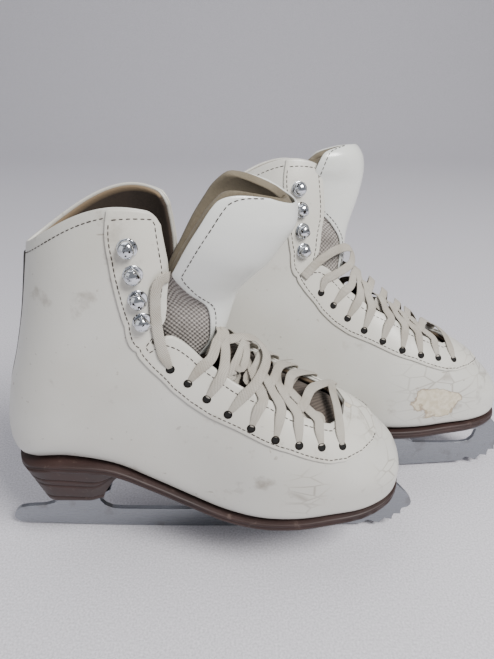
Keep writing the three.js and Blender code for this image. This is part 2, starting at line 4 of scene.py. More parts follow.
import bmesh
import bpy
import numpy as np
from mathutils import Matrix, Vector


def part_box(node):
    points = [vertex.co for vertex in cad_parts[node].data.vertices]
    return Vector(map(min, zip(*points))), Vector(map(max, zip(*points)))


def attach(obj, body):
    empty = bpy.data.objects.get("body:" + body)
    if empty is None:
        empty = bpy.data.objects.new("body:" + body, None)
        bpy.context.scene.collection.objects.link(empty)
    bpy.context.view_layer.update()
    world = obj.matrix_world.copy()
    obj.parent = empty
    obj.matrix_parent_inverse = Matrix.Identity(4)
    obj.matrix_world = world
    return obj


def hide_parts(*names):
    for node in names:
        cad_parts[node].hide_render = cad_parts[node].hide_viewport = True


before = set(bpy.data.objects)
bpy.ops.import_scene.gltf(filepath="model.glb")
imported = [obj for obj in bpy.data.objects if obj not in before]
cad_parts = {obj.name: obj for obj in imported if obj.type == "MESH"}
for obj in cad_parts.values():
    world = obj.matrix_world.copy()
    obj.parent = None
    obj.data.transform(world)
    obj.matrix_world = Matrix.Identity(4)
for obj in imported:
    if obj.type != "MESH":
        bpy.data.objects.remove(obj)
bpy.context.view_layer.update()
SIDES = (-1, 1)
SKATES = ("right", "left")

# ---- Placing -----------------------------------------------------------------
# Shapes are drawn in millimetres as a right skate standing on its blade, toes towards +X.
# The left skate is its mirror image, turned and moved as in the part.
LEFT_YAW = math.radians(2.5)
LEFT_LEAN = math.radians(12)
LEFT_SHIFT = np.array([98.7, 57, 1.9 * math.sin(LEFT_LEAN)])
LEFT_TURN = np.array(Matrix.Rotation(LEFT_YAW, 3, "Z") @ Matrix.Rotation(-LEFT_LEAN, 3, "X"))
blade_low, blade_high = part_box("right_blade")
PAIR_SHIFT = np.array(
    [
        blade_low[0] * 1000 + 15.8,
        (blade_low[1] + blade_high[1]) * 500,
        blade_low[2] * 1000 - 0.0057,
    ]
)


def place(points, skate):
    """Skate millimetres to metres in the row frame."""
    p = np.asarray(points, float)
    if skate == "left":
        p = (p * (1, -1, 1)) @ LEFT_TURN.T + LEFT_SHIFT
    return (p + PAIR_SHIFT) / 1000


def place_direction(d, skate):
    d = np.asarray(d, float)
    return (d * (1, -1, 1)) @ LEFT_TURN.T if skate == "left" else d


# ---- Camera --------------------------------------------------------------------
def make_camera():
    pan, dip, roll = math.radians(0.1), math.radians(29.5), math.radians(0.4)
    forward = Vector((math.sin(pan) * math.cos(dip), math.cos(pan) * math.cos(dip), -math.sin(dip)))
    level = Vector((math.cos(pan), -math.sin(pan), 0))
    above = level.cross(forward)
    right = math.cos(roll) * level + math.sin(roll) * above
    up = -math.sin(roll) * level + math.cos(roll) * above
    data = bpy.data.cameras.new("camera")
    data.sensor_fit = "HORIZONTAL"
    data.sensor_width = 36
    data.lens = 36 * 554 / 494
    data.clip_start = 0.01
    cam = bpy.data.objects.new("camera", data)
    cam.matrix_world = Matrix.Translation(place([159, -298, 341], "right").tolist()) @ Matrix(
        (right, up, -forward)
    ).transposed().to_4x4()
    bpy.context.scene.collection.objects.link(cam)
    bpy.context.scene.camera = cam


make_camera()

# ---- Boot skin -------------------------------------------------------------------
# One row per slice of the boot, toe to collar: bottom x z, top x z, half width, height share of
# the widest place, squareness below it, roundness above it, arch.
SLICES = np.array(
    [
        [265.2, 67, 265.2, 75, 6, 0.5, 3, 2, 0],
        [262.5, 61.5, 263.5, 82, 17, 0.45, 4, 2, 0],
        [257, 59, 259.5, 89, 27, 0.4, 5, 2, 0],
        [248, 58, 251, 98, 34.5, 0.36, 7, 2.1, 0],
        [234, 57.5, 238.5, 109, 41.5, 0.33, 8, 2.1, 0],
        [215, 57, 221, 120, 46, 0.31, 8, 2.2, 0],
        [192, 55, 201.5, 130.5, 48.5, 0.29, 8, 2.3, 0],
        [168, 54, 183, 142.5, 47, 0.3, 8, 2.3, 0],
        [145, 55.5, 165, 157, 41.5, 0.33, 8, 2.3, 0],
        [122, 62.5, 150, 170, 36, 0.36, 8, 2.3, 0],
        [98, 73, 139, 181, 32.5, 0.4, 8, 2.3, 0],
        [72, 86, 132, 191, 32.5, 0.42, 7, 2.3, 0],
        [42, 90, 128, 200, 33.5, 0.42, 5, 2.3, 0],
        [17, 86.5, 126, 207, 34, 0.42, 3.6, 2.3, 0],
        [5.5, 89.5, 125.5, 213, 34.5, 0.43, 2.7, 2.3, 0],
        [2.2, 106, 125.5, 219, 34.5, 0.45, 2.3, 2.3, 1],
        [8, 135, 125.5, 225, 34, 0.48, 2.1, 2.3, 3],
        [16.5, 160, 125.5, 231, 33, 0.51, 2, 2.3, 6],
        [24, 185, 125, 236, 31.5, 0.54, 1.9, 2.3, 9],
        [29.5, 208, 124, 241, 29, 0.58, 1.8, 2.3, 13],
        [34, 229, 122, 246.5, 25.5, 0.64, 1.7, 2.3, 16.5],
    ]
)
LAST = len(SLICES) - 1
WIDEST = 0.42
INNER_SIDE = 0.85


def smooth(x):
    x = np.clip(x, 0, 1)
    return x * x * (3 - 2 * x)


def inner_share(t):
    return INNER_SIDE + (1 - INNER_SIDE) * smooth((np.asarray(t, float) - 8) / 5)


def slices_at(t):
    t = np.asarray(t, float)
    i = np.clip(np.floor(t).astype(int), 0, LAST - 1)
    f = (t - i)[..., None]
    a, b, c, d = (SLICES[np.clip(i + k, 0, LAST)] for k in (-1, 0, 1, 2))
    return b + 0.5 * f * (c - a + f * (2 * a - 5 * b + 4 * c - d + f * (3 * (b - c) + d - a)))


def skin(t, v, side):
    """Points of the boot's outer face. t: 0 toe to 20 collar; v: 0 bottom or back to 1 top or front."""
    t, v, side = np.broadcast_arrays(np.asarray(t, float), np.asarray(v, float), side)
    px, pz, qx, qz, half, widest, low_power, high_power, arch = np.moveaxis(slices_at(t), -1, 0)
    low = np.clip(v / WIDEST, 0, 1) * np.pi / 2
    high = np.clip((v - WIDEST) / (1 - WIDEST), 0, 1) * np.pi / 2
    under = v < WIDEST
    cos_low, cos_high = np.clip(np.cos(low), 0, 1), np.clip(np.cos(high), 0, 1)
    along = np.where(
        under,
        widest * (1 - cos_low ** (2 / low_power)),
        widest + (1 - widest) * np.sin(high) ** (2 / high_power),
    )
    out = np.where(under, np.sin(low) ** (2 / low_power), cos_high ** (2 / high_power))
    dx, dz = qx - px, qz - pz
    length = np.hypot(dx, dz)
    rise = arch * (2 * along * (1 - along) + 3.375 * along * along * (1 - along))
    width = half * out * np.where(side > 0, inner_share(t), 1.0)
    return np.stack(
        [px + along * dx - dz / length * rise, side * width, pz + along * dz + dx / length * rise], -1
    )


def unit(v):
    return v / np.maximum(np.linalg.norm(v, axis=-1, keepdims=True), 1e-9)


def skin_normal(t, v, side):
    t, v, side = np.broadcast_arrays(np.asarray(t, float), np.asarray(v, float), side)
    w = np.clip(v, 0.002, 0.998)
    along_t = skin(np.minimum(t + 0.02, LAST), w, side) - skin(np.maximum(t - 0.02, 0), w, side)
    along_v = skin(t, w + 0.002, side) - skin(t, w - 0.002, side)
    n = unit(np.cross(along_v, along_t) * -np.asarray(side, float)[..., None])
    middle = (v < 0.002) | (v > 0.998)
    n[..., 1] = np.where(middle, 0, n[..., 1])
    return unit(n)


def at(t, v, side, offset):
    """A point offset millimetres out of the boot's skin."""
    return skin(t, v, side) + skin_normal(t, v, side) * np.asarray(offset, float)[..., None]


# Where the leather ends at the throat and where the eyestay's seam runs, as (t, v).
FACING = np.array(
    [
        (4.85, 1), (5.0, 0.88), (5.44, 0.805), (6.04, 0.793), (6.76, 0.781), (7.4, 0.778),
        (8.18, 0.748), (8.58, 0.737), (9.3, 0.729), (9.94, 0.719), (10.44, 0.721), (11.2, 0.715),
        (11.75, 0.705), (12.05, 0.69), (12.22, 0.662), (12.4, 0.648), (12.6, 0.65), (12.72, 0.672),
        (12.8, 0.725), (12.95, 0.742), (13.6, 0.762), (15.74, 0.786), (16.78, 0.776), (18.38, 0.749),
        (19.3, 0.73), (19.66, 0.7), (20, 0.655),
    ]
)
SEAM = np.array(
    [
        (3.55, 1), (3.6, 0.893), (3.64, 0.854), (3.88, 0.788), (4.38, 0.7), (4.92, 0.637),
        (5.4, 0.613), (6.0, 0.613), (6.62, 0.615), (7.44, 0.598), (8.22, 0.583), (9.12, 0.554),
        (9.86, 0.541), (10.6, 0.541), (11.52, 0.566), (13.02, 0.611), (15.16, 0.599),
        (16.54, 0.556), (18.2, 0.5), (19.52, 0.445), (20, 0.43),
    ]
)


def facing_v(t):
    return np.interp(t, FACING[:, 0], FACING[:, 1], left=1)


def seam_v(t):
    return np.interp(t, SEAM[:, 0], SEAM[:, 1], left=1)


def eyelet_place(i):
    s = i / 8
    return 11.04 - 5.98 * s - 0.9 * s * (1 - s), 0.603 - 0.03 * s * (1 - s) + 0.106 * s * s


def hook_place(i):
    s = i / 3
    return 18.46 - 3.6 * s - 0.25 * s * s, 0.571 + 0.13 * s - 0.04 * s * s


EYELETS = [eyelet_place(i) for i in range(9)]
HOOKS = [hook_place(i) for i in range(4)]


# ---- Mesh building -----------------------------------------------------------------
def mesh_object(name, points, faces, skate, material, uv=None, marks=None, merge=1e-6):
    """A closed mesh from skate millimetres; marks are named values per point for the materials."""
    mesh = bpy.data.meshes.new(name)
    mesh.from_pydata(place(points, skate).tolist(), [], [list(map(int, f)) for f in faces])
    if uv is not None:
        layer = mesh.uv_layers.new(name="UVMap")
        index = np.zeros(len(mesh.loops), int)
        mesh.loops.foreach_get("vertex_index", index)
        layer.data.foreach_set("uv", np.asarray(uv, np.float32)[index].ravel())
    for key, values in (marks or {}).items():
        attribute = mesh.attributes.new(key, "FLOAT", "POINT")
        attribute.data.foreach_set("value", np.asarray(values, np.float32).ravel())
    bm = bmesh.new()
    bm.from_mesh(mesh)
    bmesh.ops.remove_doubles(bm, verts=bm.verts, dist=merge)
    bmesh.ops.recalc_face_normals(bm, faces=bm.faces)
    bm.to_mesh(mesh)
    bm.free()
    mesh.shade_smooth()
    mesh.materials.append(material)
    obj = bpy.data.objects.new(name, mesh)
    bpy.context.scene.collection.objects.link(obj)
    return obj


def grid_faces(index):
    a, b, c, d = index[:-1, :-1], index[1:, :-1], index[1:, 1:], index[:-1, 1:]
    return np.stack([a, b, c, d], -1).reshape(-1, 4).tolist()


def grid_uv(outer):
    step_r = np.linalg.norm(np.diff(outer, axis=0), axis=-1)
    step_c = np.linalg.norm(np.diff(outer, axis=1), axis=-1)
    u = np.vstack([np.zeros((1, outer.shape[1])), np.cumsum(step_r, 0)])
    v = np.hstack([np.zeros((outer.shape[0], 1)), np.cumsum(step_c, 1)])
    u = u - u[:1] + 0 * v
    return np.stack([u, v - v.mean(1, keepdims=True)], -1) / 1000


def closed_grid(outer, inner, bulge_start, bulge_end, first="rim", last="rim", marks=None):
    """Two face grids joined by rounded rims. A border is left to merge where its bulge is 0."""
    rows, cols = outer.shape[:2]
    points = [outer.reshape(-1, 3), inner.reshape(-1, 3)]
    index_out = np.arange(rows * cols).reshape(rows, cols)
    index_in = index_out + rows * cols
    faces = grid_faces(index_out) + grid_faces(index_in)
    uv = grid_uv(outer)
    uvs = [uv.reshape(-1, 2)] * 2
    values = {k: [np.broadcast_to(m, (rows, cols)).reshape(-1)] * 2 for k, m in (marks or {}).items()}
    count = 2 * rows * cols

    def rim(o, i, tangent, bulge, ids_out, ids_in, uv_edge, mark_edges):
        nonlocal count
        middle, half = (o + i) / 2, (o - i) / 2
        size = np.linalg.norm(half, axis=-1, keepdims=True)
        chain = [ids_out]
        for k in (1, 2, 3):
            a = k * np.pi / 4
            points.append(middle + np.cos(a) * half + np.sin(a) * size * tangent * bulge[:, None])
            uvs.append(uv_edge)
            for key, edge in mark_edges.items():
                values[key].append(edge)
            chain.append(np.arange(len(o)) + count)
            count += len(o)
        chain.append(ids_in)
        return np.array(chain)

    def edge_marks(pick):
        return {k: pick(np.broadcast_to(m, (rows, cols))) for k, m in (marks or {}).items()}

    chains = {}
    for key, c, c2, bulge in (("start", 0, 1, bulge_start), ("end", -1, -2, bulge_end)):
        if bulge is None:
            continue
        bulge = np.broadcast_to(np.asarray(bulge, float), (rows,))
        tangent = unit(outer[:, c] - outer[:, c2])
        chain = rim(outer[:, c], inner[:, c], tangent, bulge, index_out[:, c], index_in[:, c], uv[:, c],
                    edge_marks(lambda m, c=c: m[:, c]))
        chains[key] = chain
        for r in range(rows - 1):
            if bulge[r] <= 0 and bulge[r + 1] <= 0:
                continue
            faces.extend([chain[k][r], chain[k][r + 1], chain[k + 1][r + 1],
                chain[k + 1][r]] for k in range(4))
    for key, r, r2, kind in (("first", 0, 1, first), ("last", -1, -2, last)):
        if kind == "rim":
            tangent = unit(outer[r] - outer[r2])
            chain = rim(outer[r], inner[r], tangent, np.ones(cols), index_out[r], index_in[r], uv[r],
                        edge_marks(lambda m, r=r: m[r]))
            for c in range(cols - 1):
                faces.extend([chain[k][c], chain[k][c + 1], chain[k + 1][c + 1],
                    chain[k + 1][c]] for k in range(4))
            for side_key, c in (("start", 0), ("end", -1)):
                if side_key in chains:
                    a = chains[side_key][:, r]
                    b = chain[:, c]
                    faces.append([a[0], a[1], b[1]])
                    faces.append([a[3], a[4], b[3]])
                    faces.extend([a[k], a[k + 1], b[k + 1], b[k]] for k in (1, 2))
        elif kind == "fan":
            for ids, grid, reach in ((index_out, outer, 1.0), (index_in, inner, 0.6)):
                centre = grid[r].mean(0) + unit(grid[r].mean(0) - grid[r2].mean(0)) * reach
                points.append(centre[None])
                uvs.append(uv[r].mean(0)[None])
                for key2 in values:
                    values[key2].append(np.broadcast_to(marks[key2], (rows, cols))[r][:1])
                faces.extend([ids[r][c], ids[r][c + 1], count] for c in range(cols - 1))
                count += 1
    return (
        np.vstack(points),
        faces,
        np.vstack(uvs),
        {k: np.concatenate(v) for k, v in values.items()},
    )


def swept(path, ups, width, thick, corners=12, taper=None):
    """A flat band along a path. ups is the way its broad face looks at each point."""
    path, ups = np.asarray(path, float), unit(np.asarray(ups, float))
    along = unit(np.gradient(path, axis=0))
    broad = unit(np.cross(along, ups))
    thin = np.cross(broad, along)
    a = np.linspace(0, 2 * np.pi, corners, endpoint=False)
    shape_x = np.sign(np.cos(a)) * np.abs(np.cos(a)) ** 0.55 * width / 2
    shape_y = np.sign(np.sin(a)) * np.abs(np.sin(a)) ** 0.8 * thick / 2
    scale = np.ones(len(path)) if taper is None else taper
    rings = (
        path[:, None]
        + broad[:, None] * (shape_x[None] * scale[:, None])[..., None]
        + thin[:, None] * (shape_y[None] * scale[:, None])[..., None]
    )
    n = len(path)
    index = np.arange(n * corners).reshape(n, corners)
    wrapped = np.hstack([index, index[:, :1]])
    faces = grid_faces(wrapped) + [index[0].tolist(), index[-1][::-1].tolist()]
    length = np.concatenate([[0], np.cumsum(np.linalg.norm(np.diff(path, axis=0), axis=1))])
    uv = np.stack(
        [np.repeat(length[:, None], corners, 1), np.repeat(shape_x[None], n, 0)], -1
    ).reshape(-1, 2) / 1000
    return rings.reshape(-1, 3), faces, uv, length[-1]


def through(knots, step=1.2):
    """A smooth curve through knots; extra columns such as an up vector go along."""
    k = np.asarray(knots, float)
    k = np.vstack([2 * k[0] - k[1], k, 2 * k[-1] - k[-2]])
    parts = []
    for i in range(1, len(k) - 2):
        a, b, c, d = k[i - 1 : i + 3]
        n = max(int(np.linalg.norm((c - b)[:3]) / step), 2)
        f = np.linspace(0, 1, n, endpoint=i == len(k) - 3)[:, None]
        parts.append(b + 0.5 * f * (c - a + f * (2 * a - 5 * b + 4 * c - d + f * (3 * (b - c) + d - a))))
    return np.vstack(parts)


def joined(name, meshes, skate, material, merge=1e-6):
    """Several point and face lists as one piece."""
    points, faces, uvs, count = [], [], [], 0
    for p, f, uv in meshes:
        points.append(p)
        uvs.append(uv)
        faces.extend([[i + count for i in face] for face in f])
        count += len(p)
    return mesh_object(name, np.vstack(points), faces, skate, material, np.vstack(uvs), merge=merge)


def lathe(profile, segments=32):
    """A turned closed shape round Z from radius, height pairs; ends lie on the axis."""
    profile = np.asarray(profile, float)
    a = np.linspace(0, 2 * np.pi, segments, endpoint=False)
    rings = np.stack(
        [
            profile[:, None, 0] * np.cos(a)[None],
            profile[:, None, 0] * np.sin(a)[None],
            np.repeat(profile[:, 1:2], segments, 1),
        ],
        -1,
    )
    index = np.arange(len(profile) * segments).reshape(len(profile), segments)
    return rings.reshape(-1, 3), grid_faces(np.hstack([index, index[:, :1]]))


# ---- Shader building -----------------------------------------------------------------
class Tree:
    """Short calls for adding and linking nodes."""

    def __init__(self, tree):
        self.tree = tree

    def add(self, kind, inputs=None, **settings):
        node = self.tree.nodes.new(kind)
        for key, value in settings.items():
            setattr(node, key, value)
        for key, value in (inputs or {}).items():
            socket = node.inputs[key]
            if isinstance(value, bpy.types.NodeSocket):
                self.tree.links.new(value, socket)
            else:
                socket.default_value = value
        return node

    def math(self, operation, a, b=0.0, clamp=False):
        return self.add("ShaderNodeMath", {0: a, 1: b}, operation=operation, use_clamp=clamp).outputs[0]

    def ramp(self, value, low, high, to_low=0.0, to_high=1.0):
        node = self.add(
            "ShaderNodeMapRange",
            {"Value": value, "From Min": low, "From Max": high, "To Min": to_low, "To Max": to_high},
        )
        return node.outputs["Result"]

    def mix(self, factor, a, b):
        node = self.add("ShaderNodeMix", data_type="RGBA")
        for socket, value in ((node.inputs[0], factor), (node.inputs[6], a), (node.inputs[7], b)):
            if isinstance(value, bpy.types.NodeSocket):
                self.tree.links.new(value, socket)
            else:
                socket.default_value = value
        return node.outputs[2]

    def noise(self, vector, scale, detail=3.0, rough=0.5, distort=0.0):
        return self.add(
            "ShaderNodeTexNoise",
            {"Vector": vector, "Scale": scale, "Detail": detail, "Roughness": rough, "Distortion": distort},
        ).outputs["Fac"]

    def mark(self, name):
        return self.add("ShaderNodeAttribute", attribute_name=name).outputs["Fac"]


def group(name, inputs, outputs, build):
    """A shader node group with named sockets; build(tree, input node) returns the output sockets."""
    tree = bpy.data.node_groups.new(name, "ShaderNodeTree")
    for key, kind, value in inputs:
        socket = tree.interface.new_socket(key, in_out="INPUT", socket_type=kind)
        if value is not None:
            socket.default_value = value
    for key, kind in outputs:
        tree.interface.new_socket(key, in_out="OUTPUT", socket_type=kind)
    t = Tree(tree)
    source = tree.nodes.new("NodeGroupInput")
    sink = tree.nodes.new("NodeGroupOutput")
    for (key, _), socket in zip(outputs, build(t, source)):
        tree.links.new(socket, sink.inputs[key])
    return tree


FLOAT, COLOR, VECTOR = "NodeSocketFloat", "NodeSocketColor", "NodeSocketVector"


def build_leather(t, source):
    """Leather grain, soft mottling, smudges and fine scratches; crease lines get dirt and painted shade."""
    where = source.outputs["Vector"]
    tone = t.noise(where, 16, 4)
    grain = t.add("ShaderNodeTexVoronoi", {"Vector": where, "Scale": 820.0}).outputs["Distance"]
    fine = t.noise(where, 2600, 2)
    creases = t.add(
        "ShaderNodeTexVoronoi",
        {"Vector": t.add("ShaderNodeVectorMath", {0: where, 1: (1, 1, 2.2)},
            operation="MULTIPLY").outputs[0],
         "Scale": 60.0},
        feature="DISTANCE_TO_EDGE",
    ).outputs["Distance"]
    smudge = t.ramp(t.noise(where, 42, 7, 0.62), 0.6, 0.74)
    spots = t.ramp(t.noise(where, 210, 3, 0.6), 0.685, 0.74)
    turned = t.add("ShaderNodeMapping", {"Vector": where, "Rotation": (0.3, 0.5, 0.9),
        "Scale": (14, 260, 260)})
    scratch = t.ramp(t.noise(turned.outputs[0], 1.0, 2, 0.4, 0.3), 0.735, 0.755)
    across = t.add("ShaderNodeMapping", {"Vector": where, "Rotation": (0.9, -0.4, 0.2),
        "Scale": (220, 20, 220)})
    scratch2 = t.ramp(t.noise(across.outputs[0], 1.0, 2, 0.4, 0.2), 0.75, 0.77)
    marks = t.math("MAXIMUM", scratch, scratch2)
    marks = t.math("MULTIPLY", marks, t.ramp(t.noise(where, 30, 2), 0.45, 0.6))
    dirt = t.math("MULTIPLY", source.outputs["Dirt"], t.math("MAXIMUM", smudge,
        t.math("MULTIPLY", marks, 0.9)))
    dirt = t.math("MAXIMUM", dirt,
        t.math("MULTIPLY", spots, t.math("MULTIPLY", source.outputs["Dirt"], 0.7)))
    color = t.mix(t.ramp(tone, 0.3, 0.7, 0.0, 0.55), source.outputs["Color"], source.outputs["Shade"])
    color = t.mix(t.math("MULTIPLY", dirt, 0.42, True), color, source.outputs["Dirt and crease shade color"])
    rough = t.math("ADD", source.outputs["Roughness"], t.math("MULTIPLY", dirt, 0.2), True)
    rough = t.math("ADD", rough, t.ramp(tone, 0.3, 0.7, -0.04, 0.06), True)
    height = t.math("ADD", t.math("MULTIPLY", grain, 0.42), t.math("MULTIPLY", fine, 0.18))
    height = t.math("SUBTRACT", height, t.math("MULTIPLY", marks, 0.5))
    crease = t.math("MULTIPLY", source.outputs["Crease"], t.ramp(creases, 0.0, 0.06, 1.0, 0.0))
    height = t.math("SUBTRACT", height, t.math("MULTIPLY", crease, 0.9))
    # Crease lines turn toward the dirt colour: partly dirt in the creases, partly painted shade in the
    # folds.
    color = t.mix(t.math("MULTIPLY", crease, 0.55, True), color, source.outputs["Dirt and crease shade color"])
    return color, rough, height


LEATHER = group(
    "worn leather",
    [("Vector", VECTOR, None), ("Color", COLOR, (0.7, 0.69, 0.65, 1)),
        ("Shade", COLOR, (0.6, 0.58, 0.53, 1)),
     ("Dirt and crease shade color", COLOR, (0.2, 0.17, 0.14, 1)), ("Dirt", FLOAT, 1.0), ("Crease", FLOAT, 0.0),
     ("Roughness", FLOAT, 0.42)],
    [("Color", COLOR), ("Roughness", FLOAT), ("Height", FLOAT)],
    build_leather,
)


def build_weave(t, source):
    """Crossing threads from UV, as on mesh cloth or a flat cotton lace; the colour factor is painted shade,
    darker where the weave is low between threads.
    """
    scaled = t.add("ShaderNodeVectorMath", {0: source.outputs["Vector"], 1: source.outputs["Threads"]},
                   operation="MULTIPLY").outputs[0]
    parts = t.add("ShaderNodeSeparateXYZ", {0: scaled})
    wave_x = t.math("SINE", t.math("MULTIPLY", parts.outputs[0], math.tau))
    wave_y = t.math("SINE", t.math("MULTIPLY", parts.outputs[1], math.tau))
    offset = t.math("MULTIPLY", wave_x, wave_y)
    ridge = t.math("ABSOLUTE", t.math("SINE",
        t.math("MULTIPLY", t.math("ADD", parts.outputs[0], parts.outputs[1]), math.pi)))
    height = t.math("ADD", t.math("MULTIPLY", offset, 0.5), t.math("MULTIPLY", ridge, 0.5))
    height = t.math("ADD", height, t.math("MULTIPLY", t.noise(scaled, 1.7, 2), 0.5))
    fuzz = t.noise(source.outputs["Vector"], 2200, 2)
    # Painted shade: the colour factor goes dark where the weave is low, between the threads.
    factor = t.ramp(t.math("ADD", height, t.math("MULTIPLY", fuzz, 0.4)), -0.2, 1.1)
    return factor, height


WEAVE = group(
    "weave",
    [("Vector", VECTOR, None), ("Threads", VECTOR, (500, 500, 1))],
    [("Factor", FLOAT), ("Height", FLOAT)],
    build_weave,
)


def build_metal(t, source):
    """Fine brushing, broad tone and small stains for bare metal."""
    where = source.outputs["Vector"]
    brushed = t.add("ShaderNodeVectorMath", {0: where, 1: source.outputs["Brush"]},
        operation="MULTIPLY").outputs[0]
    lines = t.noise(brushed, 1.0, 4, 0.6)
    stain = t.ramp(t.noise(where, 60, 5, 0.6), 0.55, 0.75)
    color = t.mix(t.math("MULTIPLY", stain, source.outputs["Stain"]), source.outputs["Color"],
        source.outputs["Stain color"])
    rough = t.math("ADD", source.outputs["Roughness"], t.ramp(lines, 0.3, 0.7, -0.05, 0.08), True)
    rough = t.math("ADD", rough, t.math("MULTIPLY", stain, 0.15), True)
    return color, rough, lines


METAL = group(
    "worn metal",
    [("Vector", VECTOR, None), ("Color", COLOR, (0.6, 0.6, 0.6, 1)),
        ("Stain color", COLOR, (0.25, 0.2, 0.16, 1)),
     ("Stain", FLOAT, 0.3), ("Brush", VECTOR, (60, 3000, 900)), ("Roughness", FLOAT, 0.2)],
    [("Color", COLOR), ("Roughness", FLOAT), ("Height", FLOAT)],
    build_metal,
)


def material(name, build):
    mat = bpy.data.materials.new(name)
    mat.use_nodes = True
    t = Tree(mat.node_tree)
    shader = mat.node_tree.nodes["Principled BSDF"]
    where = t.add("ShaderNodeTexCoord")
    build(t, shader, where)
    return mat


def use(t, shader, **sockets):
    for key, value in sockets.items():
        socket = shader.inputs[key.replace("_", " ")]
        if isinstance(value, bpy.types.NodeSocket):
            t.tree.links.new(value, socket)
        else:
            socket.default_value = value


def bump(t, shader, height, strength, distance):
    node = t.add("ShaderNodeBump", {"Height": height, "Strength": strength, "Distance": distance})
    t.tree.links.new(node.outputs[0], shader.inputs["Normal"])


def rgb(r, g, b):
    """sRGB 0-255 to linear."""
    def lin(c):
        c /= 255
        return c / 12.92 if c <= 0.04045 else ((c + 0.055) / 1.055) ** 2.4
    return (lin(r), lin(g), lin(b), 1)


def leather_material(name, color, shade, dirt=1.0, rough=0.36, dirt_and_crease_shade_color=rgb(118, 104, 88), coat=0.2):
    def build(t, shader, where):
        worn = t.math("MAXIMUM", t.mark("worn"), 0.0)
        torn = t.mark("torn")
        g = t.add(
            "ShaderNodeGroup",
            {},
            node_tree=LEATHER,
        )
        links = {"Color": color, "Shade": shade, "Dirt and crease shade color": dirt_and_crease_shade_color, "Roughness": rough}
        for key, value in links.items():
            g.inputs[key].default_value = value
        t.tree.links.new(where.outputs["Object"], g.inputs["Vector"])
        t.tree.links.new(t.math("ADD", dirt, t.math("MULTIPLY", worn, 1.1)), g.inputs["Dirt"])
        t.tree.links.new(worn, g.inputs["Crease"])
        object_at = where.outputs["Object"]
        edge = t.math("ADD", torn, t.ramp(t.noise(object_at, 110, 3, 0.5), 0.3, 0.7, -0.1, 0.1))
        hole = t.ramp(edge, 0.5, 0.52)
        rim = t.math("SUBTRACT", t.ramp(edge, 0.47, 0.5), t.ramp(edge, 0.52, 0.55), True)
        base = t.mix(t.ramp(t.noise(object_at, 320, 3), 0.35, 0.65), rgb(214, 205, 186), rgb(196, 184, 160))
        with_hole = t.mix(hole, g.outputs["Color"], base)
        with_hole = t.mix(t.math("MULTIPLY", rim, 0.6, True), with_hole, rgb(128, 104, 76))
        use(t, shader, Base_Color=with_hole, Roughness=t.math("ADD", g.outputs["Roughness"],
            t.math("MULTIPLY", hole, 0.4), True))
        height = t.math("SUBTRACT", g.outputs["Height"], t.math("MULTIPLY", hole, 2.4))
        bump(t, shader, height, 0.22, 0.00035)
        shader.inputs["Coat Weight"].default_value = coat
        shader.inputs["Coat Roughness"].default_value = 0.22
        shader.inputs["Specular IOR Level"].default_value = 0.5
        shader.inputs["Subsurface Weight"].default_value = 0.0
    return material(name, build)


def cloth_material(name, dark, light, threads, strength=0.5, distance=0.0004, rough=0.92, worn_color=None):
    def build(t, shader, where):
        g = t.add("ShaderNodeGroup", {}, node_tree=WEAVE)
        t.tree.links.new(where.outputs["UV"], g.inputs["Vector"])
        g.inputs["Threads"].default_value = threads
        # dark is the painted shade between threads, light the thread tops.
        color = t.mix(g.outputs["Factor"], dark, light)
        soil = t.ramp(t.noise(where.outputs["Object"], 55, 5, 0.6), 0.42, 0.72)
        color = t.mix(t.math("MULTIPLY", soil, 0.5), color, worn_color or dark)
        use(t, shader, Base_Color=color, Roughness=rough)
        shader.inputs["Sheen Weight"].default_value = 0.05
        shader.inputs["Sheen Roughness"].default_value = 0.5
        bump(t, shader, g.outputs["Height"], strength, distance)
    return material(name, build)


def suede_material(name, dark, light, edge=None, rough=0.95):
    """Napped leather; where the mark "edge" is 1 it turns to the edge colour."""
    def build(t, shader, where):
        nap = t.noise(where.outputs["Object"], 900, 4, 0.65)
        broad = t.noise(where.outputs["Object"], 40, 4)
        color = t.mix(t.ramp(broad, 0.3, 0.7), dark, light)
        color = t.mix(t.ramp(nap, 0.35, 0.7, 0.0, 0.45), color, light)
        if edge is not None:
            color = t.mix(t.mark("edge"), color, edge)
        use(t, shader, Base_Color=color, Roughness=rough)
        shader.inputs["Sheen Weight"].default_value = 0.07
        shader.inputs["Sheen Roughness"].default_value = 0.6
        bump(t, shader, nap, 0.45, 0.0005)
    return material(name, build)


def metal_material(name, color, rough, brush, stain=0.3, strength=0.05, metallic=1.0,
    stain_color=rgb(96, 82, 68)):
    def build(t, shader, where):
        g = t.add("ShaderNodeGroup", {}, node_tree=METAL)
        t.tree.links.new(where.outputs["Object"], g.inputs["Vector"])
        for key, value in {"Color": color, "Stain color": stain_color, "Stain": stain, "Brush": brush,
            "Roughness": rough}.items():
            g.inputs[key].default_value = value
        use(t, shader, Base_Color=g.outputs["Color"], Roughness=g.outputs["Roughness"], Metallic=metallic)
        bump(t, shader, g.outputs["Height"], strength, 0.0001)
    return material(name, build)


def rubber_material(name, color, light):
    def build(t, shader, where):
        broad = t.noise(where.outputs["Object"], 30, 5)
        fine = t.noise(where.outputs["Object"], 1500, 3)
        scuff = t.ramp(t.noise(where.outputs["Object"], 160, 6, 0.7), 0.6, 0.75)
        tint = t.mix(t.ramp(broad, 0.35, 0.7), color, light)
        tint = t.mix(t.math("MULTIPLY", scuff, 0.35), tint, rgb(140, 122, 112))
        use(t, shader, Base_Color=tint, Roughness=t.ramp(broad, 0.3, 0.7, 0.48, 0.62))
        bump(t, shader, fine, 0.12, 0.0003)
    return material(name, build)


def plain_material(name, color, rough=0.6, metallic=0.0):
    def build(t, shader, where):
        tone = t.noise(where.outputs["Object"], 700, 3)
        dark = tuple(c * 0.7 for c in color[:3]) + (1,)
        use(t, shader, Base_Color=t.mix(t.ramp(tone, 0.3, 0.7), dark, color), Roughness=rough,
            Metallic=metallic)
    return material(name, build)


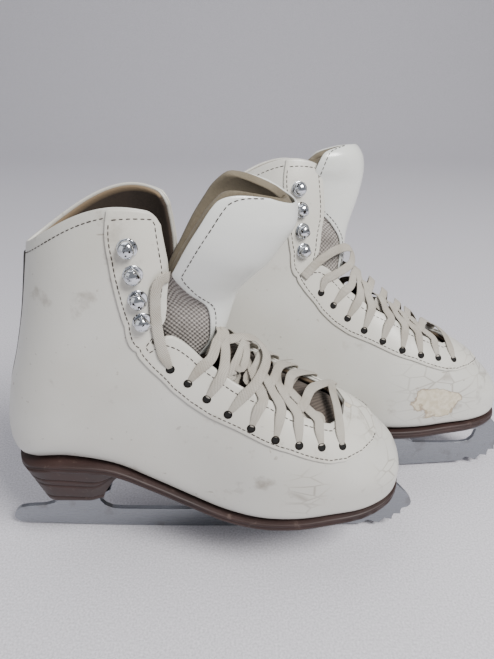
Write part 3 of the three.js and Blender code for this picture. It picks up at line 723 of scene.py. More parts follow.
WHITE = leather_material("white boot leather", rgb(206, 205, 199), rgb(188, 184, 174), dirt=1.4)
WHITE_STAY = leather_material("white eyestay leather", rgb(212, 210, 202), rgb(197, 192, 180), dirt=0.9)
TONGUE_WHITE = leather_material("white tongue leather", rgb(224, 226, 222), rgb(214, 215, 209),
    dirt=0.3, rough=0.24, coat=0.7)
BLACK_SEAM = leather_material("black back seam leather", rgb(38, 34, 32), rgb(52, 46, 42), dirt=0.6,
    rough=0.55)
LINING = suede_material("dark boot lining", rgb(44, 34, 27), rgb(70, 57, 46), edge=rgb(122, 104, 82))
FOOTBED = suede_material("tan footbed", rgb(120, 100, 78), rgb(150, 130, 104))
TONGUE_SUEDE = suede_material("taupe tongue suede", rgb(94, 85, 70), rgb(128, 118, 100))
MESH = cloth_material("grey tongue mesh", rgb(96, 88, 84), rgb(186, 180, 174), (330, 330, 1), 0.9, 0.0006)
BASE_CLOTH = cloth_material("dark tongue cloth", rgb(52, 45, 40), rgb(98, 88, 80), (330, 330, 1), 0.6,
    0.0005)
LACE = cloth_material("cotton lace", rgb(122, 115, 105), rgb(192, 187, 177), (620, 900, 1), 0.45, 0.0003,
                      worn_color=rgb(146, 136, 120))
SOLE = rubber_material("brown sole", rgb(42, 26, 23), rgb(57, 37, 33))
STEEL = metal_material("polished blade steel", rgb(150, 153, 158), 0.27, (40, 2600, 2600), 0.5)
PLATE = metal_material("plated mounting steel", rgb(140, 143, 150), 0.3, (400, 400, 400), 0.4)


def chrome_build(t, shader, where):
    flakes = t.ramp(t.noise(where.outputs["Object"], 430, 4, 0.65), 0.56, 0.6)
    color = t.mix(flakes, rgb(222, 225, 230), rgb(44, 39, 35))
    use(t, shader, Base_Color=color, Roughness=t.ramp(flakes, 0.0, 1.0, 0.1, 0.5), Metallic=1.0)


CHROME = material("worn chrome hooks", chrome_build)
EYELET = metal_material("dark eyelets", rgb(40, 37, 35), 0.62, (300, 300, 300), 0.4)
THREAD = plain_material("dark stitching", rgb(58, 50, 46), 0.85)
HOLE_SHADOW = plain_material("shadow in the holes", rgb(14, 12, 11), 0.9)


# ---- Pieces that repeat ----------------------------------------------------------------
def repeater(name, template, mat):
    """Geometry nodes that put the template on every point, turned to its axis and turn vectors."""
    tree = bpy.data.node_groups.new(name, "GeometryNodeTree")
    tree.interface.new_socket("Geometry", in_out="INPUT", socket_type="NodeSocketGeometry")
    size = tree.interface.new_socket("Size", in_out="INPUT", socket_type="NodeSocketFloat")
    size.default_value = 1.0
    spread = tree.interface.new_socket("Size spread", in_out="INPUT", socket_type="NodeSocketFloat")
    spread.default_value = 0.0
    tree.interface.new_socket("Geometry", in_out="OUTPUT", socket_type="NodeSocketGeometry")
    t = Tree(tree)
    source = tree.nodes.new("NodeGroupInput")
    sink = tree.nodes.new("NodeGroupOutput")
    axis = t.add("GeometryNodeInputNamedAttribute", {"Name": "axis"}, data_type="FLOAT_VECTOR").outputs[0]
    turn = t.add("GeometryNodeInputNamedAttribute", {"Name": "turn"}, data_type="FLOAT_VECTOR").outputs[0]
    upright = t.add("FunctionNodeAlignRotationToVector", {"Vector": axis}, axis="Z").outputs[0]
    turned = t.add("FunctionNodeAlignRotationToVector", {"Rotation": upright, "Vector": turn}, axis="X",
                   pivot_axis="Z").outputs[0]
    low = t.math("SUBTRACT", source.outputs["Size"], source.outputs["Size spread"])
    high = t.math("ADD", source.outputs["Size"], source.outputs["Size spread"])
    scale = t.add("FunctionNodeRandomValue", {"Min": low, "Max": high, "Seed": 7}, data_type="FLOAT")
    piece = t.add("GeometryNodeObjectInfo", {"Object": template}).outputs["Geometry"]
    placed = t.add(
        "GeometryNodeInstanceOnPoints",
        {"Points": source.outputs["Geometry"], "Instance": piece, "Rotation": turned},
    )
    for output in scale.outputs:
        if output.enabled and output.type == "VALUE":
            tree.links.new(output, placed.inputs["Scale"])
    real = t.add("GeometryNodeRealizeInstances", {"Geometry": placed.outputs[0]}).outputs[0]
    dressed = t.add("GeometryNodeSetMaterial", {"Geometry": real, "Material": mat}).outputs[0]
    tree.links.new(dressed, sink.inputs["Geometry"])
    return tree


def repeated(name, tree, spots, skate, spread=0.0, size=1.0):
    """One mesh of copies. spots are (point, axis, turn) in skate millimetres."""
    points = place([s[0] for s in spots], skate)
    mesh = bpy.data.meshes.new(name)
    mesh.from_pydata(points.tolist(), [], [])
    for key, k in (("axis", 1), ("turn", 2)):
        values = place_direction([s[k] for s in spots], skate)
        mesh.attributes.new(key, "FLOAT_VECTOR", "POINT").data.foreach_set("vector",
            values.astype(np.float32).ravel())
    seed = bpy.data.objects.new(name, mesh)
    bpy.context.scene.collection.objects.link(seed)
    modifier = seed.modifiers.new("copies", "NODES")
    modifier.node_group = tree
    settings = {"Size": size, "Size spread": spread}
    for item in tree.interface.items_tree:
        if item.item_type == "SOCKET" and item.in_out == "INPUT" and item.name in settings:
            modifier[item.identifier] = settings[item.name]
    bpy.context.view_layer.update()
    made = bpy.data.meshes.new_from_object(seed.evaluated_get(bpy.context.evaluated_depsgraph_get()))
    bpy.data.objects.remove(seed)
    obj = bpy.data.objects.new(name, made)
    bpy.context.scene.collection.objects.link(obj)
    return obj


def template(name, points, faces):
    """A small mesh in metres that is only copied, never shown."""
    mesh = bpy.data.meshes.new(name)
    mesh.from_pydata((np.asarray(points) / 1000).tolist(), [], [list(map(int, f)) for f in faces])
    bm = bmesh.new()
    bm.from_mesh(mesh)
    bmesh.ops.remove_doubles(bm, verts=bm.verts, dist=1e-7)
    bmesh.ops.recalc_face_normals(bm, faces=bm.faces)
    bm.to_mesh(mesh)
    bm.free()
    mesh.shade_smooth()
    return bpy.data.objects.new(name, mesh)


def stitch_template():
    profile = np.array([(0, -1.25), (0.16, -1.15), (0.27, -0.8), (0.3, 0), (0.27, 0.8), (0.16, 1.15),
        (0, 1.25)])
    points, faces = lathe(profile, 8)
    return template("stitch", points[:, [2, 0, 1]], faces)


def eyelet_template():
    profile = [(1.95, -0.9), (2.0, 0.1), (2.15, 0.34), (2.4, 0.36), (2.65, 0.15), (2.7, -0.2), (2.4, -0.9)]
    profile.append(profile[0])
    return template("eyelet", *lathe(profile, 28))


# A flat near-black disc for each eyelet: painted shadow standing in for the inside of the hole.
def hole_shadow_template():
    return template("hole", *lathe([(0, -0.9), (2.15, -0.9), (2.15, 0.0), (1.8, 0.06), (0, 0.06)], 24))


def hook_template():
    """A round base plate, a short neck and a domed head with its front side cut flat and lifted."""
    base, base_faces = lathe(
        [(0, -0.6), (6.1, -0.6), (6.3, -0.1), (6.15, 0.5), (5.5, 0.85), (4.9, 0.7), (4.4, 0.9),
            (2.2, 1.1), (0, 1.1)], 40
    )
    neck, neck_faces = lathe([(0, 0.6), (2.4, 0.6), (2.0, 1.6), (2.2, 2.8), (3.0, 3.4), (0, 3.4)], 28)
    head, head_faces = lathe(
        [(0, 2.7), (2.4, 2.75), (4.6, 2.7), (5.3, 2.95), (5.5, 3.5), (5.2, 4.5), (4.4, 5.6), (3.1, 6.5),
            (1.6, 7.05), (0, 7.2)],
        40,
    )
    x = head[:, 0]
    head[:, 0] = np.where(x > 3.0, 3.0 + (x - 3.0) * 0.45, x * 1.04)
    head[:, 2] += np.where(x > 0, (x / 5.5) ** 2 * 0.5, 0)
    head[:, 0] -= 0.3
    points = np.vstack([base, neck, head])
    faces = base_faces + [[i + len(base) for i in f] for f in neck_faces]
    faces += [[i + len(base) + len(neck) for i in f] for f in head_faces]
    return template("hook", points, faces)


def screw_template():
    """A countersunk head with a cross recess, under its plate."""
    rings, faces = lathe([(0, -1.55), (0.9, -1.6), (2.3, -1.55), (3.2, -1.0), (3.4, -0.4), (3.3, -0.1),
        (0, -0.1)], 32)
    angle = np.arctan2(rings[:, 1], rings[:, 0])
    radius = np.hypot(rings[:, 0], rings[:, 1])
    cross = (np.abs(np.sin(2 * angle)) < 0.45) & (radius < 2.0) & (rings[:, 2] < -1)
    rings[:, 2] += np.where(cross | ((radius < 0.1) & (rings[:, 2] < -1)), 0.8, 0)
    return template("screw", rings, faces)


STITCHES = repeater("stitches along a seam", stitch_template(), THREAD)
EYELET_RINGS = repeater("eyelet rings", eyelet_template(), EYELET)
EYELET_HOLE_SHADOWS = repeater("painted shadow discs in eyelet holes", hole_shadow_template(), HOLE_SHADOW)
HOOK_HEADS = repeater("lacing hooks", hook_template(), CHROME)
SCREW_HEADS = repeater("plate screws", screw_template(), PLATE)


def seam_spots(points, normals, pitch=3.3):
    """Even places along a line of points, each with its normal and direction."""
    points, normals = np.asarray(points, float), np.asarray(normals, float)
    length = np.concatenate([[0], np.cumsum(np.linalg.norm(np.diff(points, axis=0), axis=1))])
    n = max(int(length[-1] / pitch), 2)
    where = (np.arange(n) + 0.5) * length[-1] / n
    at_point = np.stack([np.interp(where, length, points[:, k]) for k in range(3)], -1)
    at_normal = unit(np.stack([np.interp(where, length, normals[:, k]) for k in range(3)], -1))
    ahead = np.stack([np.interp(where + 0.4, length, points[:, k]) for k in range(3)], -1)
    behind = np.stack([np.interp(where - 0.4, length, points[:, k]) for k in range(3)], -1)
    return [(p + 0.08 * q, q, d) for p, q, d in zip(at_point, at_normal, unit(ahead - behind))]


# ---- Boots -------------------------------------------------------------------------------
def keep(obj, body, slot, *nodes):
    """Hand a finished piece to its body and hide the nodes that it replaces; slot is not used."""
    if nodes:
        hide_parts(*nodes)
    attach(obj, body)
    return obj


BOTTOM_COLUMNS = np.concatenate([[0, 0.00001, 0.0006, 0.004, 0.012, 0.03, 0.06, 0.1, 0.15],
    np.linspace(0.2, 1, 30)])
ROWS = np.unique(np.round(np.concatenate([np.arange(0, 20.01, 0.2), np.arange(11.4, 13.3, 0.08),
    np.arange(3.5, 5.6, 0.1), np.arange(19, 20.01, 0.1)]), 3))
UPPER_THICK = 2.0
STAY_OUT, STAY_IN = 1.25, 0.12

# Wear on each boot as (side, t, v, reach in t, reach in v): creased places and torn places.
WORN = {
    "right": [(-1, 4.0, 0.97, 1.2, 0.16), (1, 4.0, 0.97, 1.2, 0.2), (-1, 2.6, 0.62, 0.9, 0.2),
        (-1, 5.9, 0.47, 0.5, 0.08)],
    "left": [(1, 3.4, 0.9, 1.2, 0.3), (-1, 3.6, 0.95, 1.0, 0.2), (1, 5.4, 0.5, 1.5, 0.14)],
}
TORN = {"right": [(-1, 4.75, 0.985, 0.16, 0.03)], "left": [(1, 5.45, 0.45, 0.95, 0.05)]}


def patch_marks(t, v, side, patches):
    """1 in the middle of a patch, 0.5 at its edge and 0 well outside it."""
    total = np.zeros(np.broadcast(t, v).shape)
    for s, t0, v0, reach_t, reach_v in patches:
        d = np.sqrt(((t - t0) / reach_t) ** 2 + ((v - v0) / reach_v) ** 2)
        here = np.clip(1 - 0.5 * d, 0, 1) * (np.asarray(side) == s)
        total = np.maximum(total, here)
    return total


def wear_marks(skate, t, v, side):
    """Where the leather of a boot is creased and where it is torn."""
    return {
        "worn": np.clip(patch_marks(t, v, side, WORN[skate]) * 2 - 0.6, 0, 1),
        "torn": patch_marks(t, v, side, TORN[skate]),
    }


def edge_gap(t, v_edge):
    """How open the throat is at t, in millimetres, from the two facing edges."""
    return np.abs(skin(t, v_edge, -1)[..., 1] - skin(t, v_edge, 1)[..., 1])


def boot_grid(rows, edge, offset_out, offset_in, columns):
    """Outer and inner faces of a boot layer, from one facing edge under the foot to the other."""
    t = rows[:, None]
    v = np.hstack([(columns * edge[:, None])[:, ::-1], (columns * edge[:, None])[:, 1:]])
    side = np.concatenate([-np.ones(len(columns)), np.ones(len(columns) - 1)])[None]
    side = np.broadcast_to(side, v.shape)
    t = np.broadcast_to(t, v.shape)
    return at(t, v, side, np.full(v.shape, offset_out)), at(t, v, side,
        np.full(v.shape, offset_in)), t, v, side


def upper(skate):
    """The outer leather from the toe to the collar, open along the throat."""
    edge = facing_v(ROWS)
    outer, inner, t, v, side = boot_grid(ROWS, edge, 0.0, -UPPER_THICK, BOTTOM_COLUMNS)
    bulge = np.clip(edge_gap(ROWS, edge) / UPPER_THICK, 0, 1) * (edge < 1)
    marks = wear_marks(skate, t, v, side)
    points, faces, uv, values = closed_grid(outer, inner, bulge, bulge, "fan", "rim", marks)
    obj = mesh_object(f"{skate}-boot-upper", points, faces, skate, WHITE, uv, values, merge=2e-6)
    return keep(obj, f"{skate}_skate", "white_leather", f"{skate}_upper", f"{skate}_heel_counter",
        f"{skate}_toe_puff")


STAY_ROWS = np.unique(np.round(np.concatenate([[3.55, 3.58, 3.6, 3.64], np.arange(3.7, 5.5, 0.08),
    np.arange(5.5, 11.4, 0.2), np.arange(11.4, 13.3, 0.08), np.arange(13.4, 19, 0.2),
    np.arange(19, 19.95, 0.1)]), 3))


def eyestay(skate):
    """The raised leather that carries the eyelets and hooks and runs round the throat's front end."""
    parts = []
    low, high = seam_v(STAY_ROWS), facing_v(STAY_ROWS)
    share = np.linspace(0, 1, 16)
    for side in SIDES:
        v = low[:, None] + (high - low)[:, None] * share
        t = np.broadcast_to(STAY_ROWS[:, None], v.shape)
        outer = at(t, v, side, np.full(v.shape, STAY_OUT))
        inner = at(t, v, side, np.full(v.shape, STAY_IN))
        top = np.clip(edge_gap(STAY_ROWS, high) / (STAY_OUT - STAY_IN), 0, 1) * (high < 1)
        low_bulge = np.clip((1 - low) * 30, 0, 1)
        marks = wear_marks(skate, t, v, side)
        parts.append(closed_grid(outer, inner, low_bulge, top, None, "rim", marks))
    points = np.vstack([p[0] for p in parts])
    shift = len(parts[0][0])
    faces = parts[0][1] + [[i + shift for i in f] for f in parts[1][1]]
    uv = np.vstack([p[2] for p in parts])
    values = {k: np.concatenate([p[3][k] for p in parts]) for k in parts[0][3]}
    obj = mesh_object(f"{skate}-eyestay", points, faces, skate, WHITE_STAY, uv, values, merge=2e-6)
    return keep(obj, f"{skate}_skate", "white_leather", f"{skate}_eyestay")


LINING_ROWS = np.unique(np.round(np.concatenate([[0.9], np.arange(1.2, 19.9, 0.25),
    np.arange(19, 19.92, 0.1)]), 3))


def lining(skate):
    """The dark napped lining with a lighter band at its edges."""
    edge = np.where(facing_v(LINING_ROWS) < 1, facing_v(LINING_ROWS) - 0.004, 1)
    outer, inner, t, v, side = boot_grid(LINING_ROWS, edge, -UPPER_THICK - 0.25, -4.5, BOTTOM_COLUMNS)
    bulge = np.clip(edge_gap(LINING_ROWS, edge) / 3, 0, 1) * (edge < 1)
    near_edge = np.maximum(smooth((t - 19.74) / 0.08),
        smooth((v - (edge[:, None] - 0.03)) / 0.02) * (t < 13) * 0.5)
    points, faces, uv, values = closed_grid(outer, inner, bulge, bulge, "fan", "rim", {"edge": near_edge})
    obj = mesh_object(f"{skate}-boot-lining", points, faces, skate, LINING, uv, values, merge=2e-6)
    return keep(obj, f"{skate}_skate", "brown_lining", f"{skate}_lining")


FLOOR = np.array(
    [(252, 66.5), (234, 67), (215, 66.5), (192, 64.5), (168, 63.5), (145, 65), (122, 72), (98, 82.5),
        (72, 95), (42, 99.5), (24, 98)]
)


def floor_slab(skate, name, low, high, offset, mat, slot, node):
    """A slab on the floor of the boot, as wide as the lining lets it be."""
    knots = through(np.column_stack([FLOOR, np.zeros(len(FLOOR))])[:, [0, 2, 1]], 6)
    x, z = knots[:, 0], knots[:, 2]
    t = np.interp(-x, -SLICES[:14, 0], np.arange(14))
    rings = []
    end = np.sqrt(np.clip(1 - np.abs(np.linspace(-1, 1, len(x))) ** 9, 0.0, 1))
    for xi, zi, ti, e in zip(x, z, t, end):
        half = slices_at(ti)[4] + offset
        inside = half * float(inner_share(ti))
        share = np.linspace(-1, 1, 17)
        y = np.where(share < 0, share * half, share * inside) * e * 0.93
        lift = 1.8 * share**4
        top = np.stack([np.full(17, xi), y, zi + high + lift], -1)
        under = np.stack([np.full(17, xi), y[::-1] * 0.97, np.full(17, zi + low) + lift[::-1]], -1)
        rings.append(np.vstack([top, under]))
    rings = np.array(rings)
    n = rings.shape[1]
    index = np.arange(len(rings) * n).reshape(len(rings), n)
    faces = grid_faces(np.hstack([index, index[:, :1]])) + [index[0].tolist(), index[-1][::-1].tolist()]
    uv = np.stack([np.repeat(x[:, None], n, 1), rings[..., 1]], -1).reshape(-1, 2) / 1000
    obj = mesh_object(f"{skate}-{name}", rings.reshape(-1, 3), faces, skate, mat, uv)
    return keep(obj, f"{skate}_skate", slot, f"{skate}_{node}")


def back_seam(skate):
    """The dark strip sewn over the seam down the back of the boot."""
    t = np.arange(14.25, 19.75, 0.12)
    centre, normal = skin(t, 0.0, -1), skin_normal(t, 0.0, -1)
    fall = np.clip(np.minimum(t - 14.2, 19.78 - t) / 0.15, 0.25, 1)
    rings = []
    for c, n, f in zip(centre, normal, fall):
        across = [(-3.6, -0.3), (-3.4, 0.5), (-2.4, 1.0), (0, 1.25), (2.4, 1.0), (3.4, 0.5), (3.6, -0.3)]
        rings.append([c + np.array([0, y, 0]) + n * h * f + np.array([y * y * 0.055, 0, 0]) for y,
            h in across])
    rings = np.array(rings)
    k = rings.shape[1]
    index = np.arange(len(rings) * k).reshape(len(rings), k)
    faces = grid_faces(np.hstack([index, index[:, :1]])) + [index[0].tolist(), index[-1][::-1].tolist()]
    uv = np.zeros((len(rings) * k, 2))
    obj = mesh_object(f"{skate}-back-seam", rings.reshape(-1, 3), faces, skate, BLACK_SEAM, uv)
    return keep(obj, f"{skate}_skate", "black_piping", f"{skate}_back_seam")


def seam_line(t, v, side, offset):
    return at(t, v, side, np.full(np.shape(t), offset)), skin_normal(t, v, side)


def stitching(skate):
    """Dark stitches along the eyestay's seam, the facing edge and the collar."""
    spots = []
    for side in SIDES:
        t = np.concatenate([np.arange(3.66, 5.0, 0.02), np.arange(5.0, 19.5, 0.05)])
        spots += seam_spots(*seam_line(t, np.minimum(seam_v(t) + 0.013, 0.998), side, STAY_OUT), 3.2)
        t = np.concatenate([np.arange(5.05, 11.6, 0.05), np.arange(11.6, 13.2, 0.03),
            np.arange(13.2, 19.5, 0.05)])
        spots += seam_spots(*seam_line(t, np.maximum(facing_v(t) - 0.034, seam_v(t) + 0.034), side,
            STAY_OUT), 3.4)
        v = np.linspace(0.03, float(seam_v(19.6)) - 0.01, 90)
        spots += seam_spots(*seam_line(np.full(90, 19.64), v, side, 0.0), 3.3)
        v = np.linspace(float(seam_v(19.55)) + 0.02, 0.68, 60)
        spots += seam_spots(*seam_line(np.full(60, 19.55), v, side, STAY_OUT), 3.3)
    obj = repeated(f"{skate}-boot-stitching", STITCHES, spots, skate, 0.12)
    return keep(obj, f"{skate}_skate", "white_leather")


def small_metal(skate):
    """Eyelets and lacing hooks on both sides of a boot."""
    for side, word in zip(SIDES, ("lateral", "medial")):
        spots = [(at(t, v, side, STAY_OUT), skin_normal(t, v, side), (1, 0, 0)) for t, v in EYELETS]
        rings = repeated(f"{skate}-{word}-eyelets", EYELET_RINGS, spots, skate)
        keep(rings, f"{skate}_skate", "eyelet_metal", f"{skate}_eyelets_{word}")
        # A dark disc in each eyelet is the painted shadow inside the hole.
        hole_shadows = repeated(f"{skate}-{word}-eyelet-holes", EYELET_HOLE_SHADOWS, spots, skate)
        keep(hole_shadows, f"{skate}_skate", "eyelet_metal")
        ahead = skin(np.array([h[0] for h in HOOKS]), np.array([h[1] for h in HOOKS]) + 0.02, side)
        spots = [
            (at(t, v, side, STAY_OUT), skin_normal(t, v, side), a - skin(t, v, side))
            for (t, v), a in zip(HOOKS, ahead)
        ]
        hooks = repeated(f"{skate}-{word}-hooks", HOOK_HEADS, spots, skate, 0.0, 0.88)
        keep(hooks, f"{skate}_skate", "hook_chrome", f"{skate}_hooks_{word}")


# ---- Soles, plates and blades ---------------------------------------------------------------
SOLE_THICK = 8.3
SOLE_KNOTS = np.array(
    [(267.4, 57.6, 0.6, 1.0), (266.4, 57.5, 8.2, 0.9), (263, 57.9, 18.2, 0.87)]
    + [
        (SLICES[i, 0], SLICES[i, 1] - 0.35, 0.98 * SLICES[i, 4] + 1.2, float(inner_share(i)))
        for i in range(2, 13)
    ]
    + [(27, 88.4, 31.8, 1), (17, 86.4, 27.6, 1), (10.5, 85.6, 20.6, 1), (6.8, 85.2, 11, 1), (5.6, 85, 1, 1)]
)


def outsole(skate):
    """The sole under the whole foot, cut under at its lower edge."""
    knots = through(np.column_stack([SOLE_KNOTS[:, :2], np.zeros(len(SOLE_KNOTS)),
        SOLE_KNOTS[:, 2:]])[:, [0, 2, 1, 3, 4]], 2.0)
    x, z, half, inner = knots[:, 0], knots[:, 2], np.maximum(knots[:, 3], 0.4), knots[:, 4]
    profile = [(-1.1, 0), (-0.4, -0.35), (0.0, -1.1), (0.0, -1.7), (-0.35, -2.1), (-0.35, -2.5),
        (0.1, -2.9), (0.1, -4.2),
               (-0.7, -5.5), (-2.8, -7.1), (-5.5, -8.3)]
    rings = []
    for i, (xi, zi, h, s) in enumerate(zip(x, z, half, inner)):
        rib = 0.35 * math.sin(xi * 2.4) if xi > 225 else 0.0
        side = [(-max(h + o + (rib if k in (6, 7) else 0), 0.2), d) for k, (o, d) in enumerate(profile)]
        other = [(-y * s, d) for y, d in side][::-1]
        rings.append([(xi, y, zi + d) for y, d in side + other])
    rings = np.array(rings)
    n = rings.shape[1]
    index = np.arange(len(rings) * n).reshape(len(rings), n)
    faces = grid_faces(np.hstack([index, index[:, :1]])) + [index[0].tolist(), index[-1][::-1].tolist()]
    uv = np.stack([np.repeat(x[:, None], n, 1), rings[..., 1]], -1).reshape(-1, 2) / 1000
    obj = mesh_object(f"{skate}-outsole", rings.reshape(-1, 3), faces, skate, SOLE, uv)
    return keep(obj, f"{skate}_skate", "sole_rubber", f"{skate}_outsole")


HEEL_GROOVES = [
    [(4, 79.4), (20, 77), (45, 74.5), (62, 73.5), (70, 76), (80, 80.5), (92, 81)],
    [(4, 74.5), (20, 71.5), (45, 69), (60, 68.8), (66, 72), (72, 77), (82, 78.6)],
    [(6, 61.5), (20, 58.4), (45, 56.6), (64, 56.2), (69, 59), (71, 66), (74, 72), (84, 75.4)],
]


def heel(skate):
    """The moulded heel: leaning walls with three shallow grooves that sweep up at the front."""
    levels = np.concatenate([[0, 0.008, 0.03], np.linspace(0.06, 1, 62)])
    sole_z = lambda x: np.interp(x, SOLE_KNOTS[::-1, 0], SOLE_KNOTS[::-1, 1]) - 3.6
    grooves = [through(np.column_stack([np.array(g)[:, 0], np.zeros(len(g)), np.array(g)[:, 1]]),
        1.0)[:, [0, 2]] for g in HEEL_GROOVES]
    rings = []
    a = np.linspace(0, 1, 72)
    for level in levels:
        z = 52 + level * 29
        up = (z - 52) / 33
        back = 17.4 - 12 * up
        front = 62 + 19 * up**1.3
        half = 26.8 + 7.6 * up
        edge = 1.4 * max(0, 1 - (z - 52) / 1.0) ** 2
        x = back + edge + (front - back - 2 * edge) * a
        round_back = np.clip(a / 0.36, 0, 1)
        w = (half - edge) * np.sqrt(np.clip(1 - (1 - round_back) ** 2.6, 0, 1))
        w = w * (1 - 0.10 * smooth((a - 0.8) / 0.2))
        dent = np.zeros(len(x))
        for g in grooves:
            d = np.abs(np.interp(x, g[:, 0], g[:, 1]) - (52 + level * (sole_z(x) - 52)))
            dent = np.maximum(dent, np.exp(-((d / 0.7) ** 2)) * 0.9)
        w = np.maximum(w - dent, 0.3)
        zz = 52 + level * (sole_z(x) - 52)
        rings.append(np.vstack([np.stack([x, -w, zz], -1), np.stack([x, w, zz], -1)[::-1]]))
    rings = np.array(rings)
    n = rings.shape[1]
    index = np.arange(len(rings) * n).reshape(len(rings), n)
    faces = grid_faces(np.hstack([index, index[:, :1]]))
    for row in (index[0], index[-1]):
        k = n // 2
        faces += [[row[i], row[i + 1], row[n - 2 - i], row[n - 1 - i]] for i in range(k - 1)]
    uv = np.zeros((len(rings) * n, 2))
    obj = mesh_object(f"{skate}-heel", rings.reshape(-1, 3), faces, skate, SOLE, uv, merge=5e-7)
    return keep(obj, f"{skate}_skate", "sole_rubber", f"{skate}_heel")


def sole_bottom(x):
    return np.interp(x, SOLE_KNOTS[::-1, 0], SOLE_KNOTS[::-1, 1]) - SOLE_THICK


ROCKER = [(x, (x - 115) ** 2 / 4400) for x in np.linspace(-8, 248, 60)]
RAKE = [(252, 7.6), (256, 6.6), (261, 4.3), (263, 7.4), (265, 9.6), (270.5, 8.5), (270.7, 11.5),
    (271.4, 14.3), (276.6, 14.5),
        (276, 17.4), (276.6, 20.2), (280.8, 21.8), (282.4, 24), (282.6, 27), (281, 31), (277.5, 35.5),
            (271, 43), (268, 46)]
TOE_MOUNT = [(x, float(sole_bottom(x)) - 2.85) for x in (262, 257, 248, 236, 222, 205, 190, 181)]
WAIST = [(177.5, 38), (172, 30), (166, 24.6), (158, 20.6), (148, 18.8), (136, 18.1), (100, 18),
    (66, 18.1), (59, 19), (54.5, 21.6),
         (51.5, 26), (50, 33), (49.2, 42), (49, 49), (25, 49), (24.6, 42), (23.4, 33), (21, 27.5),
             (16.5, 23.6), (9, 21), (-4, 19.8),
         (-9.5, 18.6), (-13, 15.8), (-15, 12.8), (-15.8, 9.6), (-15, 6.6), (-12, 4.4)]
WINDOW = [(197.5, 30), (199.5, 26), (204, 23.6), (225, 22.6), (246, 22), (252, 23.4), (256, 27),
    (258, 33), (257.6, 38), (254, 41.2),
          (240, 41.6), (205, 40.6), (200, 38.6), (197.6, 35)]


def blade(skate):
    """The flat blade with its window, toe teeth and rocker, its edges bevelled."""
    curve = bpy.data.curves.new("blade outline", "CURVE")
    curve.dimensions = "2D"
    curve.fill_mode = "BOTH"
    curve.extrude = 0.00155
    curve.bevel_depth = 0.00035
    curve.bevel_resolution = 2
    curve.offset = -0.00035
    for outline in (ROCKER + RAKE + TOE_MOUNT + WAIST, WINDOW):
        spline = curve.splines.new("POLY")
        spline.points.add(len(outline) - 1)
        for point, (x, z) in zip(spline.points, outline):
            point.co = (x / 1000, z / 1000, 0, 1)
        spline.use_cyclic_u = True
    temp = bpy.data.objects.new("blade outline", curve)
    bpy.context.scene.collection.objects.link(temp)
    bpy.context.view_layer.update()
    mesh = bpy.data.meshes.new_from_object(temp.evaluated_get(bpy.context.evaluated_depsgraph_get()))
    bpy.data.objects.remove(temp)
    raw = np.zeros(len(mesh.vertices) * 3)
    mesh.vertices.foreach_get("co", raw)
    raw = raw.reshape(-1, 3)[:, [0, 2, 1]] * (1000, -1000, 1000)
    faces = [list(p.vertices) for p in mesh.polygons]
    bpy.data.meshes.remove(mesh)
    obj = mesh_object(f"{skate}-blade", raw, faces, skate, STEEL, raw[:, [0, 2]] / 1000, merge=2e-6)
    obj.data.shade_flat()
    modifier = obj.modifiers.new("even shading", "WEIGHTED_NORMAL")
    modifier.keep_sharp = True
    return keep(obj, f"{skate}_skate", "blade_steel", f"{skate}_blade")


SCREW_PLACES = [(247, 13), (247, -13), (206, 18), (206, -18), (31, 12), (31, -12), (55, 0)]


def plates(skate):
    """The two plates stay as they are with a new finish, and get new screws."""
    for word in ("toe_plate", "heel_plate"):
        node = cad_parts[f"{skate}_{word}"]
        node.data.materials.clear()
        node.data.materials.append(PLATE)
    spots = []
    for x, y in SCREW_PLACES:
        z = (52 if x < 100 else float(sole_bottom(x))) - 0.35 - 2.2
        spots.append(((x, y, z), (0, 0, 1), (1, 0.3 * (y % 3), 0)))
    obj = repeated(f"{skate}-plate-screws", SCREW_HEADS, spots, skate)
    names = [f"{skate}_toe_screw_{i}" for i in range(1,
        5)] + [f"{skate}_heel_screw_{i}" for i in range(1, 4)]
    return keep(obj, f"{skate}_skate", "screw_metal", *names)


# ---- Tongues -----------------------------------------------------------------------------
# Rows up each tongue: middle x z, edge x z, edge half width, share of the width that is the
# white face.
TONGUES = {
    "right": np.array(
        [
            (131, 156, 122, 160, 13, 0.55), (141, 166, 113, 172, 14, 0.42),
                (145.1, 175.2, 109, 184, 14.5, 0.42),
            (150, 192.2, 110, 198, 15, 0.54), (153.8, 201.4, 113, 210, 18.5, 0.8),
                (161.9, 210.5, 119, 221.3, 22.5, 1),
            (170.8, 219.2, 127.4, 237.3, 27, 1), (179.3, 231.5, 134.3, 248.3, 28, 1),
                (185, 241.5, 141, 258, 27, 1),
            (185.5, 250.4, 150, 266, 23, 1), (183, 256, 156, 268, 19, 1),
        ]
    ),
    "left": np.array(
        [
            (128, 158, 118, 161, 12, 0.4), (133, 170, 110, 172, 13, 0.35),
                (135.5, 185.5, 105, 185, 14, 0.33),
            (135.4, 197.4, 103.5, 198, 14.5, 0.34), (137.3, 209.2, 103.5, 210, 15, 0.58),
                (142.4, 225.5, 104.5, 226, 16.5, 0.95),
            (145.5, 238.7, 106, 240, 19, 1), (146.6, 249, 109, 250, 23, 1),
                (145.5, 257.5, 113, 257.5, 23, 1),
            (142, 263.5, 118.5, 262.5, 19, 1), (137.5, 266.5, 123, 265.5, 14, 1),
        ]
    ),
}


def tongue_rows(skate, r):
    table = TONGUES[skate]
    r = np.clip(np.asarray(r, float), 0, 10)
    i = np.clip(np.floor(r).astype(int), 0, 9)
    f = (r - i)[..., None]
    a, b, c, d = (table[np.clip(i + k, 0, 10)] for k in (-1, 0, 1, 2))
    return b + 0.5 * f * (c - a + f * (2 * a - 5 * b + 4 * c - d + f * (3 * (b - c) + d - a)))


